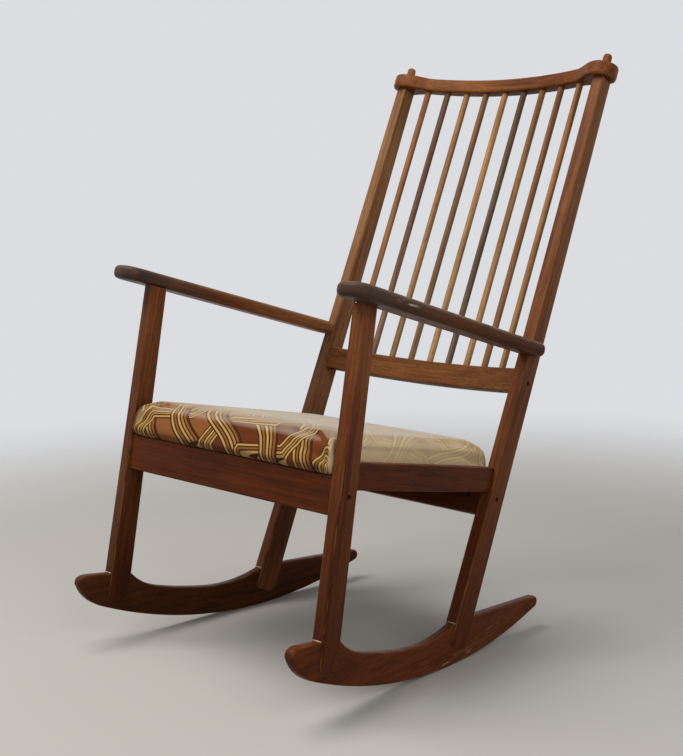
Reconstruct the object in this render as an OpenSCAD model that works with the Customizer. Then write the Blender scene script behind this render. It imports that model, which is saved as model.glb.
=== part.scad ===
// Rocking chair: two side frames on sawn runners, a spindle back and a drop-in seat.
// Millimetres. +Z is up and the sitter faces -Y. The origin is on the floor, under the middle.
// A side frame is drawn flat: s runs back from the front foot, n points outward, z is up.
// The back is drawn leaning: e points backward, h runs up the posts from the rear feet.

/* [Stance] */
// Distance between the two side frames at their front feet
front_track = 534.8; // [500:1:580]
// Distance between the two side frames at their rear feet
rear_track = 489.8; // [470:1:520]
// Distance from the front feet to the rear feet, front to back
foot_spacing = 331.6; // [320:1:350]
// Lean of the back from upright, in degrees
lean = 23.67; // [21:0.1:26]
// Outward lean of the rear posts from their side frame, in degrees
splay = 1.46; // [1.2:0.02:1.6]
// Gap left in a glued wooden joint
glue_gap = 0.15; // [0.1:0.05:0.25]

/* [Runners] */
// Thickness of a runner's board
runner_t = 17.5; // [15:0.5:19]
// Depth of a runner's board between the feet
runner_h = 53; // [48:1:58]
// Radius of the curve that a runner rolls on
runner_r = 830; // [800:10:900]
// Distance of the runner's lowest point behind the front foot
runner_low = 325; // [315:1:335]
// Reach of the rounded nose in front of the front foot
nose_reach = 60.5; // [52:0.5:70]
// Height of the nose above the floor
nose_top = 134.5; // [130:0.5:138]
// Reach of the tail behind the front foot
tail_reach = 587; // [560:1:620]
// Radius of the tail's round end
tail_r = 10.5; // [8:0.5:12]

/* [Legs and posts] */
// Thickness of the legs and posts, which hold the runner between two cheeks
leg_t = 24; // [22:0.5:28]
// Rake of the front legs, in degrees
leg_rake = 11.34; // [10:0.1:12.5]
// Depth of a front leg, front to back, at the runner
leg_foot_d = 42; // [38:1:46]
// Depth of a front leg, front to back, under the arm
leg_top_d = 32.5; // [30:0.5:36]
// Height of a front leg's cheeks above the floor
leg_cheek_z = 76; // [72:1:84]
// Depth of a rear post at the floor
post_foot_w = 46.3; // [42:0.5:50]
// Depth of a rear post under the crest rail
post_top_w = 27.7; // [26:0.5:32]
// Start of a rear post's cheeks, measured up the post
post_cheek_h = 28; // [24:1:34]

/* [Arms] */
// Thickness of an arm's board
arm_t = 24; // [20:1:28]
// Slope of the arms down to the back, in degrees
arm_slope = 16.6; // [15:0.1:18]
// Height of the middle of an arm's front end
arm_front_z = 659; // [640:0.5:680]
// Distance of an arm's front end behind the front foot
arm_front_s = 60.5; // [55:0.5:75]
// Width of an arm at its front end
arm_front_w = 64; // [58:1:70]
// Width of an arm at the rear post
arm_rear_w = 49; // [46:1:54]
// Reach of an arm's outer edge beyond the middle of the side frame
arm_out = 50; // [46:1:54]
// Lap of an arm along the outer face of the rear post
arm_lap = 12; // [8:1:16]
// Radius of an arm's rounded edges
arm_ease = 9.5; // [6:0.5:9.5]

/* [Back] */
// Radius of the bow of the crest rail and the lower back rail
bow_r = 1000; // [900:10:1400]
// Distance up the posts to the underside of the crest rail
crest_h = 1071; // [1020:1:1100]
// Thickness of the crest rail
crest_t = 26.5; // [20:0.5:28]
// Depth of the crest rail, front to back
crest_w = 26; // [24:0.5:30]
// Bow of the middle of the crest rail behind the posts
crest_back = 28; // [22:1:32]
// Dip of the crest rail's middle below its ends
crest_dip = 5; // [0:0.5:7]
// Radius of the round ears on the crest rail
ear_r = 26; // [24:0.5:28]
// Diameter of the pins turned on the posts' top ends, above the crest rail
pin_d = 16; // [14:0.5:17]
// Diameter of the same pins where they pass through the crest rail
pin_root_d = 16.5; // [16:0.5:18]
// Rise of the pins above the crest rail
pin_rise = 22.5; // [18:0.5:32]
// Diameter of a spindle
spindle_d = 12; // [10:0.5:14]
// Distance between neighbouring spindles
spindle_pitch = 46.4; // [40:0.2:47]
// Distance up the posts to the lower back rail
back_rail_h = 478; // [460:1:500]
// Height of the lower back rail
back_rail_w = 42; // [38:1:48]
// Thickness of the lower back rail
back_rail_t = 21; // [20:0.5:24]
// Bow of the middle of the lower back rail behind the posts
back_rail_back = 22.5; // [20:0.5:26]

/* [Seat frame] */
// Height of the front rail's top edge
seat_z = 372; // [360:1:385]
// Distance of the front rail's face behind the front edge of the legs, at its top edge
rail_set_in = 3.8; // [2:0.1:5]
// Slope of the seat down to the back, in degrees
seat_slope = 11.1; // [10:0.1:12]
// Thickness of the front rail and the rear rail
rail_t = 21; // [20:0.5:24]
// Height of the front rail and the rear rail
rail_w = 61; // [54:1:66]
// Thickness of the side rails
side_rail_t = 20; // [16:0.5:21]
// Height of the side rails
side_rail_w = 43.2; // [38:0.2:48]
// Rise of the side rails' top edges above the seat
side_rail_up = 24; // [18:0.5:28]

/* [Seat pad] */
// Length of the seat pad, front to back
pad_l = 410; // [395:1:413]
// Reach of the pad in front of the front rail
pad_front = 5; // [2:0.5:8]
// Height of the pad's rolled edge
pad_edge_h = 53; // [46:1:58]
// Height of the pad's crown
pad_crown_h = 67; // [62:1:74]
// Corner radius of the pad
pad_corner_r = 22; // [16:1:30]
// Thickness of the seat board
board_t = 10; // [8:0.5:12]
// Thickness of the fabric cover
cover_t = 1.2; // [1:0.1:1.6]
// Width of the cover's turned-in hem
hem_w = 34; // [28:1:40]
// Gap between the pad's sides and the front legs, which lets the pad lift out
pad_gap = 2; // [1.9:0.1:3]

/* [Fasteners] */
// Diameter of a rail bolt's shank
bolt_d = 5; // [4:0.5:6]
// Diameter of a rail bolt's head
bolt_head_d = 8; // [7:0.5:9]
// Length of a rail bolt's head
bolt_head_l = 5; // [4:0.5:6]
// Depth at which a bolt's head lies in its hole
bolt_recess = 8; // [6:0.5:9]
// Length of a rail bolt's shank
bolt_l = 50; // [46:1:52]
// Diameter of a barrel nut
nut_d = 9; // [8:0.5:9.5]
// Length of a barrel nut
nut_l = 12; // [10:0.5:12]
// Distance of a barrel nut from the end of its rail
nut_in = 29; // [26:1:31]
// Clearance round a bolt or a nut
bolt_fit = 0.15; // [0.1:0.05:0.25]
// Diameter of an arm dowel
dowel_d = 10; // [8:0.5:11]
// Depth of an arm dowel in each of its pieces
dowel_in = 14; // [12:1:15]
// Thickness of a side rail's tenon
tenon_t = 8; // [6:0.5:9]
// Height of a side rail's tenon
tenon_w = 26; // [22:1:30]
// Length of a side rail's tenon
tenon_l = 15; // [12:1:17]

/* [Hidden] */
$fn = 48;

// Rounding of the sawn edges, and the steps in it
runner_ease = 3.5;
leg_ease = 3;
crest_ease = 4.5;
rail_ease = 2.5;
ease_steps = 2;
arm_steps = 4;
// Length by which a cutting solid passes the face that it cuts
over = 2;
// Reach of a cutting block, larger than any piece
reach = 400;

// Drop of the front legs' shoulder below the top of the runner's nose
leg_shoulder_drop = 5.5;
leg_shoulder_front = nose_top - leg_shoulder_drop;

// Front legs: places in the side frame at a height above the floor
function leg_mid(z) = z * tan(leg_rake);
function leg_depth(z) = leg_foot_d
    + (leg_top_d - leg_foot_d) * (z - leg_shoulder_front) / (arm_front_z - leg_shoulder_front);
function leg_front(z) = leg_mid(z) - leg_depth(z) / 2;
function leg_back(z) = leg_mid(z) + leg_depth(z) / 2;

// Frames: angles and places worked out from the stance
side_angle = atan((front_track - rear_track) / 2 / foot_spacing);
post_s = foot_spacing / cos(side_angle);
nose_y = -nose_reach * cos(side_angle) - (runner_t / 2 - runner_ease) * sin(side_angle);
crest_y = foot_spacing + (crest_h + crest_t - crest_dip - crest_ease) * sin(lean)
    + (crest_back + crest_w / 2 - crest_ease) * cos(lean) + crest_ease;
front_y = -(nose_y + crest_y) / 2;
rear_y = front_y + foot_spacing;
seat_s = leg_front(seat_z) + rail_set_in;
seat_y = front_y + seat_s * cos(side_angle);

module as_left_or_right(left) {
    if (left) {
        children();
    } else {
        mirror([1, 0, 0]) children();
    }
}

module side_frame(left = true) {
    as_left_or_right(left)
        translate([front_track / 2, front_y, 0])
            rotate([0, 0, side_angle])
                children();
}

// x along n, y along e and z along h; drawn inside a side frame, and centred over the runner
module post_frame() {
    translate([-post_shoulder_z * tan(splay), post_s, 0])
        rotate([0, splay, 0])
            rotate([-lean, 0, 0])
                children();
}

// The place in the side frame of a point in the post's frame
function post_place(x, e, h) =
    let (
        s = e * cos(lean) + h * sin(lean),
        z = h * cos(lean) - e * sin(lean)
    )
        [
            x * cos(splay) + z * sin(splay) - post_shoulder_z * tan(splay),
            post_s + s,
            z * cos(splay) - x * sin(splay)
        ];

// y along e and z along h, with x across the chair
module back_frame() {
    translate([0, rear_y, 0])
        rotate([-lean, 0, 0])
            children();
}

// y back along the seat and z square to it, from the front rail's top edge
module seat_frame() {
    translate([0, seat_y, seat_z])
        rotate([-seat_slope, 0, 0])
            children();
}

// y along the arm from its front end, z = 0 in the middle of its thickness
module arm_frame() {
    translate([0, arm_front_s, arm_front_z])
        rotate([-arm_slope, 0, 0])
            children();
}

// Outline helpers: outlines run anticlockwise
function unit(v) = v / norm(v);
function left_of(v) = [-v[1], v[0]];

function bend(p, q, r, steps) = [
    for (i = [0:steps])
        let (t = i / steps)
            (1 - t) * (1 - t) * p + 2 * t * (1 - t) * q + t * t * r
];

function arc(centre, r, from, to, steps) = [
    for (i = [0:steps])
        let (a = from + (to - from) * i / steps)
            centre + r * [cos(a), sin(a)]
];

function inset(points, d) = [
    for (i = [0:len(points) - 1])
        let (
            count = len(points),
            p = points[i],
            u = left_of(unit(p - points[(i + count - 1) % count])),
            v = left_of(unit(points[(i + 1) % count] - p))
        )
            p + (u + v) * d / (1 + u * v)
];

// Triangles that fill an outline, between its lower edge and its upper edge in order of x
function fill(lower, upper, x, i = 0, j = 0) =
    i == len(lower) - 1 && j == len(upper) - 1
        ? []
        : i < len(lower) - 1 && (j == len(upper) - 1 || x[lower[i + 1]] <= x[upper[j + 1]])
            ? concat([[lower[i], lower[i + 1], upper[j]]], fill(lower, upper, x, i + 1, j))
            : concat([[lower[i], upper[j + 1], upper[j]]], fill(lower, upper, x, i, j + 1));

function filled(points) =
    let (
        count = len(points),
        x = [for (p = points) p[0]],
        first = search(min(x), x)[0],
        below = (search(max(x), x)[0] + count - first) % count
    )
        fill(
            [for (k = [0:below]) (first + k) % count],
            [for (k = [1:count - below - 1]) (first + count - k) % count],
            x
        );

// Walls between rings of equal length, listed from the lowest ring up, with both ends closed
module rings_solid(rings) {
    count = len(rings[0]);
    cap = filled(rings[0]);
    last = len(rings) - 1;
    points = [for (ring = rings) each ring];
    walls = [
        for (j = [0:last - 1])
            for (i = [0:count - 1])
                let (k = (i + 1) % count)
                    each [
                        [j * count + i, (j + 1) * count + i, (j + 1) * count + k],
                        [j * count + i, (j + 1) * count + k, j * count + k]
                    ]
    ];
    top_cap = [for (face = cap) [for (k = [2, 1, 0]) last * count + face[k]]];
    polyhedron(points, concat(cap, walls, top_cap), convexity = 8);
}

// Rings of a board of a given outline, with its edges rounded, and its thickness centred on z = 0
function eased_rings(outline, t, ease, steps = ease_steps) =
    let (
        low = [
            for (j = [0:steps])
                let (a = 90 * j / steps)
                    [ease * (1 - sin(a)), -t / 2 + ease * (1 - cos(a))]
        ],
        high = [for (j = [steps:-1:0]) [low[j][0], -low[j][1]]]
    )
        [
            for (step = concat(low, high))
                [for (p = inset(outline, step[0])) [p[0], p[1], step[1]]]
        ];

module eased_board(outline, t, ease, steps = ease_steps) {
    rings_solid(eased_rings(outline, t, ease, steps));
}

// A board standing in a side frame: its outline is in s and z
module side_board(outline, t, ease) {
    rotate([90, 0, 90]) eased_board(outline, t, ease);
}

// A board standing across the chair: its outline is in x and z
module cross_board(outline, t, ease) {
    rotate([90, 0, 0]) eased_board(outline, t, ease);
}

function box_outline(x0, y0, x1, y1) = [[x0, y0], [x1, y0], [x1, y1], [x0, y1]];

// Runner: a rolling curve with a flat of one step under the balance point
runner_step = 20;
runner_low_z = sqrt(pow(runner_r, 2) - pow(runner_step / 2, 2));
function runner_z(s, r) = runner_low_z - sqrt(pow(r, 2) - pow(s - runner_low, 2));
// Where the nose turns up, and the pull of its curve, as shares of its reach and height
nose_turn_share = 0.33;
nose_pull_share = [0.86, 0.28];
nose_tip_share = 0.77;
nose_flat_share = 0.71;
nose_turn = -nose_reach * nose_turn_share;
nose_turn_z = runner_z(nose_turn, runner_r);
function nose_point(share_s, share_z) = [
    -nose_reach * share_s,
    nose_turn_z + (nose_top - nose_turn_z) * share_z
];
// Rise of the runner's top edge into the leg and into the post, and the length of each rise
leg_flare = 18;
leg_flare_l = 69;
post_flare = 18;
post_flare_l = 122;
// Height of the tail where it leaves the post, above the plain board
tail_s = tail_reach - tail_r;
tail_z = runner_z(tail_s, runner_r) + tail_r;
// Whole steps of the rolling curve between the flat and the tail, and steps along the top edge
tail_steps = floor((tail_s - tail_r - runner_low) / runner_step - 1 / 2);
top_steps = 22;
// Angles at which the tail's round end starts and stops
tail_from = 85;
tail_to = -72;

leg_shoulder_back = runner_z(leg_foot_d, runner_r - runner_h) + leg_flare;

function post_width(h) = post_foot_w + (post_top_w - post_foot_w) * h / crest_h;
post_shoulder_z = runner_z(post_s, runner_r - runner_h) + post_flare;
// A point on the post's front or rear edge, in s and z
function post_point(h, side) = [
    post_s + h * sin(lean) + side * post_width(h) / 2 * cos(lean),
    h * cos(lean) - side * post_width(h) / 2 * sin(lean)
];
// Height up the post at which its front or rear edge meets the runner's top
function post_meets(side) = (post_shoulder_z + side * post_foot_w / 2 * sin(lean)) / cos(lean);
post_front_s = post_point(post_meets(-1), -1)[0];
post_rear_s = post_point(post_meets(1), 1)[0];
leg_front_s = leg_front(leg_shoulder_front);
leg_back_s = leg_back(leg_shoulder_back);

function runner_top(s) = runner_z(s, runner_r - runner_h)
    + leg_flare * pow(max(0, 1 - (s - leg_back_s) / leg_flare_l), 3)
    + post_flare * pow(max(0, 1 - (post_front_s - s) / post_flare_l), 2);

function runner_outline() = concat(
    [
        for (s = [runner_low - runner_step / 2:-runner_step:nose_turn + runner_step / 2])
            [s, runner_z(s, runner_r)]
    ],
    bend(nose_point(nose_turn_share, 0), nose_point(nose_pull_share[0], nose_pull_share[1]),
        nose_point(1, nose_tip_share), 6),
    bend(nose_point(1, nose_tip_share), nose_point(1, 1), nose_point(nose_flat_share, 1), 4),
    [[leg_front_s, leg_shoulder_front], [leg_back_s, runner_top(leg_back_s)]],
    [
        for (i = [1:top_steps - 1])
            let (s = leg_back_s + (post_front_s - leg_back_s) * i / top_steps)
                [s, runner_top(s)]
    ],
    [[post_front_s, post_shoulder_z], [post_rear_s, post_shoulder_z]],
    arc([tail_s, tail_z], tail_r, tail_from, tail_to, 8),
    [
        for (s = [runner_low + (tail_steps + 1 / 2) * runner_step:-runner_step:runner_low])
            [s, runner_z(s, runner_r)]
    ]
);

// The outline above runs clockwise, so it is turned round here
function turned(points) = [for (i = [len(points) - 1:-1:0]) points[i]];

// Drops a point that repeats its neighbour
repeat_gap = 0.15;
function thinned(points) = [
    for (i = [0:len(points) - 1])
        if (norm(points[i] - points[(i + 1) % len(points)]) > repeat_gap) points[i]
];

module rocker(left) {
    color("#6b3320")
        side_frame(left)
            side_board(thinned(turned(runner_outline())), runner_t, runner_ease);
}

// Front leg: cheeks over the runner at its foot, and a top end cut to the arm's slope
leg_foot_round = 26;
leg_heel_round = 6;
module leg_blank() {
    top_z = arm_front_z;
    outline = concat(
        bend(
            [leg_front(leg_cheek_z + leg_foot_round), leg_cheek_z + leg_foot_round],
            [leg_front(leg_cheek_z), leg_cheek_z],
            [leg_front(leg_cheek_z) + leg_foot_round, leg_cheek_z],
            5
        ),
        bend(
            [leg_back(leg_cheek_z) - leg_heel_round, leg_cheek_z],
            [leg_back(leg_cheek_z), leg_cheek_z],
            [leg_back(leg_cheek_z + leg_heel_round), leg_cheek_z + leg_heel_round],
            3
        ),
        [[leg_back(top_z), top_z], [leg_front(top_z), top_z]]
    );
    side_board(outline, leg_t, leg_ease);
}

// Slot for the runner, open below, under a shoulder that follows the runner's top
module runner_slot(front, back) {
    width = runner_t + 2 * glue_gap;
    slope = (back[1] - front[1]) / (back[0] - front[0]);
    rotate([90, 0, 90])
        translate([0, 0, -width / 2])
            linear_extrude(width)
                polygon([
                    [front[0] - leg_foot_d, -leg_foot_d],
                    [back[0] + leg_foot_d, -leg_foot_d],
                    [back[0] + leg_foot_d, back[1] + glue_gap + slope * leg_foot_d],
                    [front[0] - leg_foot_d, front[1] + glue_gap - slope * leg_foot_d]
                ]);
}

module above_arm_underside() {
    arm_frame()
        translate([-reach / 2, -reach / 2, -arm_t / 2 - glue_gap])
            cube([reach, reach, reach]);
}

module front_leg(left) {
    color("#7a3b22")
        side_frame(left)
            difference() {
                leg_blank();
                runner_slot([leg_front_s, leg_shoulder_front], [leg_back_s, runner_top(leg_back_s)]);
                above_arm_underside();
                front_bolt_frame() bolt_hole(leg_t);
                arm_front_dowel(glue_gap);
                side_rail_tenons(glue_gap);
            }
}

// Rear post: one straight board, tapered upward, with cheeks below and a turned pin on top
post_foot_round = 8;
post_heel_round = 18;
pin_dome = 6;
module post_blank() {
    half = post_width(post_cheek_h) / 2;
    outline = concat(
        bend(
            [-half, post_cheek_h + post_foot_round],
            [-half, post_cheek_h],
            [-half + post_foot_round, post_cheek_h],
            3
        ),
        bend(
            [half - post_heel_round, post_cheek_h],
            [half, post_cheek_h],
            [half, post_cheek_h + post_heel_round],
            5
        ),
        [[post_top_w / 2, crest_h - glue_gap], [-post_top_w / 2, crest_h - glue_gap]]
    );
    side_board(outline, leg_t, leg_ease);
}

module pin_root(gap = 0) {
    translate([0, 0, crest_h - over])
        cylinder(d = pin_root_d + 2 * gap, h = crest_t + over + gap);
}

module top_pin() {
    straight = crest_t + pin_rise - pin_dome;
    pin_root();
    translate([0, 0, crest_h])
        cylinder(d = pin_d, h = straight);
    translate([0, 0, crest_h + straight])
        rotate_extrude()
            polygon(concat(
                [[0, 0]],
                arc([pin_d / 2 - pin_dome, 0], pin_dome, 0, 90, 4),
                [[0, pin_dome]]
            ));
}

module rear_post(left) {
    color("#7a3b22")
        side_frame(left)
            difference() {
                post_frame() {
                    post_blank();
                    top_pin();
                }
                runner_slot([post_front_s, post_shoulder_z], [post_rear_s, post_shoulder_z]);
                back_bolt_frame() bolt_hole(leg_t);
                rear_bolt_frame() bolt_hole(leg_t);
                arm_rear_dowel(glue_gap);
                side_rail_tenons(glue_gap);
            }
}

// What lies behind the post's front face, for whatever butts against that face
module behind_post_front(outer) {
    post_frame()
        rotate([90, 0, 90])
            translate([0, 0, -reach / 2])
                linear_extrude(reach / 2 + outer)
                    polygon([
                        [-post_width(0) / 2 - glue_gap, 0],
                        [reach, 0],
                        [reach, crest_h],
                        [-post_top_w / 2 - glue_gap, crest_h]
                    ]);
}

// What lies outside the inner face of a leg or post
module outside_inner_face() {
    translate([-leg_t / 2 - glue_gap, -reach, 0])
        cube([reach, reach * 2, reach * 2]);
}

module trimmed_between_legs() {
    difference() {
        children();
        for (left = [true, false])
            side_frame(left) outside_inner_face();
    }
}

module trimmed_between_posts() {
    difference() {
        children();
        for (left = [true, false])
            side_frame(left) post_frame() outside_inner_face();
    }
}

// Arm: a board with a rounded front end that butts the post and laps its outer face
// Height up the post at which the middle of the arm meets it, and the arm's length to its lap
arm_post_h = (arm_front_z - (post_s - arm_front_s) * tan(arm_slope))
    / (cos(lean) + sin(lean) * tan(arm_slope));
arm_butt = (post_point(arm_post_h, -1)[0] - arm_front_s) / cos(arm_slope);
arm_l = arm_butt + arm_lap;
arm_corner_r = 27;
arm_lap_r = 13;
// Angle that the two front corners leave between them, for the front end's slight bow
arm_bow_angle = 8;
function arm_outline() = concat(
    arc([arm_out - arm_front_w + arm_corner_r, arm_corner_r], arm_corner_r,
        -180, -90 - arm_bow_angle, 8),
    arc([arm_out - arm_corner_r, arm_corner_r], arm_corner_r, arm_bow_angle - 90, 0, 8),
    arc([arm_out - arm_lap_r, arm_l - arm_lap_r], arm_lap_r, 0, 90, 6),
    [[arm_out - arm_rear_w, arm_l]]
);

module armrest(left) {
    color("#5f3a28")
        side_frame(left)
            difference() {
                arm_frame() eased_board(arm_outline(), arm_t, arm_ease, arm_steps);
                behind_post_front(leg_t / 2 + glue_gap);
                arm_front_dowel(glue_gap);
                arm_rear_dowel(glue_gap);
            }
}

// Dowels: one up from each front leg, one back into each post
leg_top_z = arm_front_z - (leg_mid(arm_front_z) - arm_front_s) * tan(arm_slope)
    - arm_t / 2 / cos(arm_slope);
module arm_front_dowel(gap = 0) {
    translate([0, leg_mid(leg_top_z), leg_top_z])
        rotate([-leg_rake, 0, 0])
            translate([0, 0, -dowel_in - gap])
                cylinder(d = dowel_d + 2 * gap, h = 2 * (dowel_in + gap));
}

module arm_rear_dowel(gap = 0) {
    arm_frame()
        translate([post_place(0, 0, arm_post_h)[0], arm_butt, 0])
            rotate([-90, 0, 0])
                translate([0, 0, -dowel_in - gap])
                    cylinder(d = dowel_d + 2 * gap, h = 2 * (dowel_in + gap));
}

module arm_dowels() {
    color("#a9764a")
        for (left = [true, false])
            side_frame(left) {
                arm_front_dowel();
                arm_rear_dowel();
            }
}

// Side rail: sloped with the seat and tenoned into the leg and the post
module side_rail_frame() {
    translate([0, seat_s, seat_z])
        rotate([-seat_slope, 0, 0])
            translate([0, 0, side_rail_up])
                children();
}

// Distances along the rail at which it meets the leg and the post
rail_mid_z = seat_z + side_rail_up - side_rail_w / 2;
rail_from = (leg_back(rail_mid_z) - seat_s) / cos(seat_slope) + side_rail_w / 2 * tan(seat_slope);
rail_post_h = (rail_mid_z - (post_s - seat_s) * tan(seat_slope))
    / (cos(lean) + sin(lean) * tan(seat_slope));
rail_to = (post_point(rail_post_h, -1)[0] - seat_s) / cos(seat_slope);
tenon_n = 3;

module side_rail_tenons(gap = 0) {
    length = rail_to - rail_from + 2 * (tenon_l + gap);
    side_rail_frame()
        translate([
            tenon_n - tenon_t / 2 - gap,
            rail_from - tenon_l - gap,
            -side_rail_w / 2 - tenon_w / 2 - gap
        ])
            cube([tenon_t + 2 * gap, length, tenon_w + 2 * gap]);
}

module ahead_of_leg_back() {
    rotate([90, 0, 90])
        translate([0, 0, -reach / 2])
            linear_extrude(reach)
                polygon([
                    [-reach, 0],
                    [leg_back(0) + glue_gap, 0],
                    [leg_back(arm_front_z) + glue_gap, arm_front_z],
                    [-reach, arm_front_z]
                ]);
}

module side_rail(left) {
    color("#74381f")
        side_frame(left) {
            difference() {
                side_rail_frame()
                    side_board(
                        box_outline(0, -side_rail_w, rail_to + side_rail_w, 0),
                        side_rail_t, rail_ease
                    );
                ahead_of_leg_back();
                behind_post_front(reach / 2);
            }
            side_rail_tenons();
        }
}

// Rails across the chair
module front_seat_rail() {
    color("#7a3b22")
        difference() {
            trimmed_between_legs()
                seat_frame()
                    translate([0, rail_t / 2, 0])
                        cross_board(
                            box_outline(-front_track / 2, -rail_w, front_track / 2, 0),
                            rail_t, rail_ease
                        );
            for (left = [true, false]) {
                side_frame(left) front_bolt_frame() {
                    bolt_shank(bolt_fit);
                    rotate([0, 0, 90]) nut_hole(rail_t / 2);
                }
            }
        }
}

// The rear rail's top edge meets the seat at its front face, so its height follows the seat
rear_rail_e = -3;
rear_rail_front_e = rear_rail_e - rail_t / 2;
rear_rail_top_h = (seat_z + rear_rail_front_e * sin(lean)
    - (rear_y - seat_y + rear_rail_front_e * cos(lean)) * tan(seat_slope))
    / (cos(lean) + sin(lean) * tan(seat_slope));
rear_rail_h = rear_rail_top_h - rail_w;
module rear_seat_rail() {
    color("#6b3320")
        difference() {
            trimmed_between_posts()
                back_frame()
                    translate([0, rear_rail_e, rear_rail_h])
                        cross_board(
                            box_outline(-rear_track / 2, 0, rear_track / 2, rail_w),
                            rail_t, rail_ease
                        );
            seat_frame()
                translate([-reach, 0, 0])
                    cube([2 * reach, 2 * reach, reach]);
            for (left = [true, false]) {
                side_frame(left) rear_bolt_frame() {
                    bolt_shank(bolt_fit);
                    rotate([0, 0, -90]) nut_hole(rail_t);
                }
            }
        }
}

function bow(x) = -x * x / 2 / bow_r;
bow_steps = 20;

module lower_back_rail() {
    half = rear_track / 2;
    outline = concat(
        [
            for (i = [-bow_steps / 2:bow_steps / 2])
                let (x = half * 2 * i / bow_steps)
                    [x, back_rail_back - back_rail_t / 2 + bow(x)]
        ],
        [
            for (i = [bow_steps / 2:-1:-bow_steps / 2])
                let (x = half * 2 * i / bow_steps)
                    [x, back_rail_back + back_rail_t / 2 + bow(x)]
        ]
    );
    color("#7a3b22")
        difference() {
            trimmed_between_posts()
                back_frame()
                    translate([0, 0, back_rail_h + back_rail_w / 2])
                        eased_board(outline, back_rail_w, rail_ease);
            back_frame() spindles(glue_gap);
            for (left = [true, false]) {
                side_frame(left) back_bolt_frame() {
                    bolt_shank(bolt_fit);
                    rotate([0, 0, 180]) nut_hole(back_rail_w);
                }
            }
        }
}

// Crest rail: bowed with the lower rail, and swept forward into a round ear at each post
ear_place = post_place(0, 0, crest_h + crest_t / 2);
ear_x = front_track / 2 + ear_place[0] * cos(side_angle) - ear_place[1] * sin(side_angle);
ear_e = -1;
sweep_from_share = 0.735;
sweep_to_share = 1;
rear_turn_share = 1.85;
function smooth(t) = t <= 0 ? 0 : t >= 1 ? 1 : t * t * (3 - 2 * t);
function crest_front(x) =
    let (
        plain = crest_back - crest_w / 2 + bow(x),
        t = (abs(x) / ear_x - sweep_from_share) / (sweep_to_share - sweep_from_share)
    )
        plain + (ear_e - ear_r - plain) * smooth(t);
crest_steps = 40;
// Angles at which the left ear's round edge starts and stops
ear_from = -80;
ear_to = 108;
// The rail is level from here outward, over the posts, and dips between
level_x = ear_x - ear_r;
function crest_drop(x) = crest_dip * (1 - pow(min(1, abs(x) / level_x), 2));

module crest_rail() {
    rear_x = ear_x - ear_r * rear_turn_share;
    ear_back_e = ear_e + ear_r * sin(ear_to);
    outline = concat(
        [
            for (i = [-crest_steps / 2:crest_steps / 2])
                let (x = sweep_to_share * ear_x * sin(90 * i / crest_steps * 2))
                    [x, crest_front(x)]
        ],
        arc([ear_x, ear_e], ear_r, ear_from, ear_to, 16),
        [[level_x, ear_back_e]],
        [
            for (i = [8:-1:-8])
                let (x = rear_x * i / 8)
                    [x, crest_back + crest_w / 2 + bow(x)]
        ],
        [[-level_x, ear_back_e]],
        arc([-ear_x, ear_e], ear_r, 180 - ear_to, 180 - ear_from, 16)
    );
    rings = [
        for (ring = eased_rings(outline, crest_t, crest_ease))
            [for (p = ring) p - [0, 0, crest_drop(p[0])]]
    ];
    color("#74381f")
        difference() {
            back_frame()
                translate([0, 0, crest_h + crest_t / 2])
                    rings_solid(rings);
            back_frame() spindles(glue_gap);
            for (left = [true, false])
                side_frame(left) post_frame() pin_root(glue_gap);
        }
}

// Spindles: straight dowels between the two bowed rails
spindle_count = 9;
spindle_low_in = 16;
spindle_top_in = 13;
function spindle_x(i) = (i - (spindle_count - 1) / 2) * spindle_pitch;
module spindle_rod(i, gap = 0) {
    x = spindle_x(i);
    low = [x, back_rail_back + bow(x), back_rail_h + back_rail_w - spindle_low_in];
    top = [x, crest_back + bow(x), crest_h - crest_drop(x) + spindle_top_in];
    run = top - low;
    translate(low)
        rotate([-atan2(run[1], run[2]), 0, 0])
            translate([0, 0, -gap])
                cylinder(d = spindle_d + 2 * gap, h = norm(run) + 2 * gap);
}

module spindles(gap) {
    for (i = [0:spindle_count - 1]) spindle_rod(i, gap);
}

spindle_tones = [
    "#8a4428", "#5a3422", "#a8683a", "#7a4c2e", "#a9783c",
    "#5c4030", "#a07048", "#7a4226", "#a8632c"
];
module spindle(number) {
    color(spindle_tones[number - 1])
        back_frame()
            spindle_rod(number - 1);
}

// Bolts: each starts at a leg's outer face, with z pointing into the chair and y up the leg
// Rise of each bolt above the middle of its rail
front_bolt_up = -1;
rear_bolt_up = 2;
back_bolt_up = -1;
back_bolt_e = 1;
front_bolt_z = seat_z - rail_w / 2 + front_bolt_up;
rear_bolt_h = rear_rail_h + rail_w / 2 + rear_bolt_up;
back_bolt_h = back_rail_h + back_rail_w / 2 + back_bolt_up;

module into_chair() {
    rotate([0, 0, -side_angle])
        rotate([90, 0, -90])
            children();
}

module front_bolt_frame() {
    translate([leg_t / 2, leg_mid(front_bolt_z), front_bolt_z])
        into_chair()
            rotate([0, 0, leg_rake])
                children();
}

module post_bolt_frame(e, h) {
    translate(post_place(leg_t / 2, e, h))
        into_chair()
            rotate([0, 0, lean])
                children();
}

module rear_bolt_frame() {
    post_bolt_frame(rear_rail_e / 2, rear_bolt_h) children();
}

module back_bolt_frame() {
    post_bolt_frame(back_bolt_e, back_bolt_h) children();
}

module bolt_shank(gap = 0) {
    start = bolt_recess + bolt_head_l - over;
    translate([0, 0, start])
        cylinder(d = bolt_d + 2 * gap, h = bolt_l + over + gap);
}

module bolt_hole(thickness) {
    translate([0, 0, -over])
        cylinder(d = bolt_head_d + 2 * bolt_fit, h = bolt_recess + bolt_head_l + over);
    translate([0, 0, -over])
        cylinder(d = bolt_d + 2 * bolt_fit, h = thickness + 2 * over);
}

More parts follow.
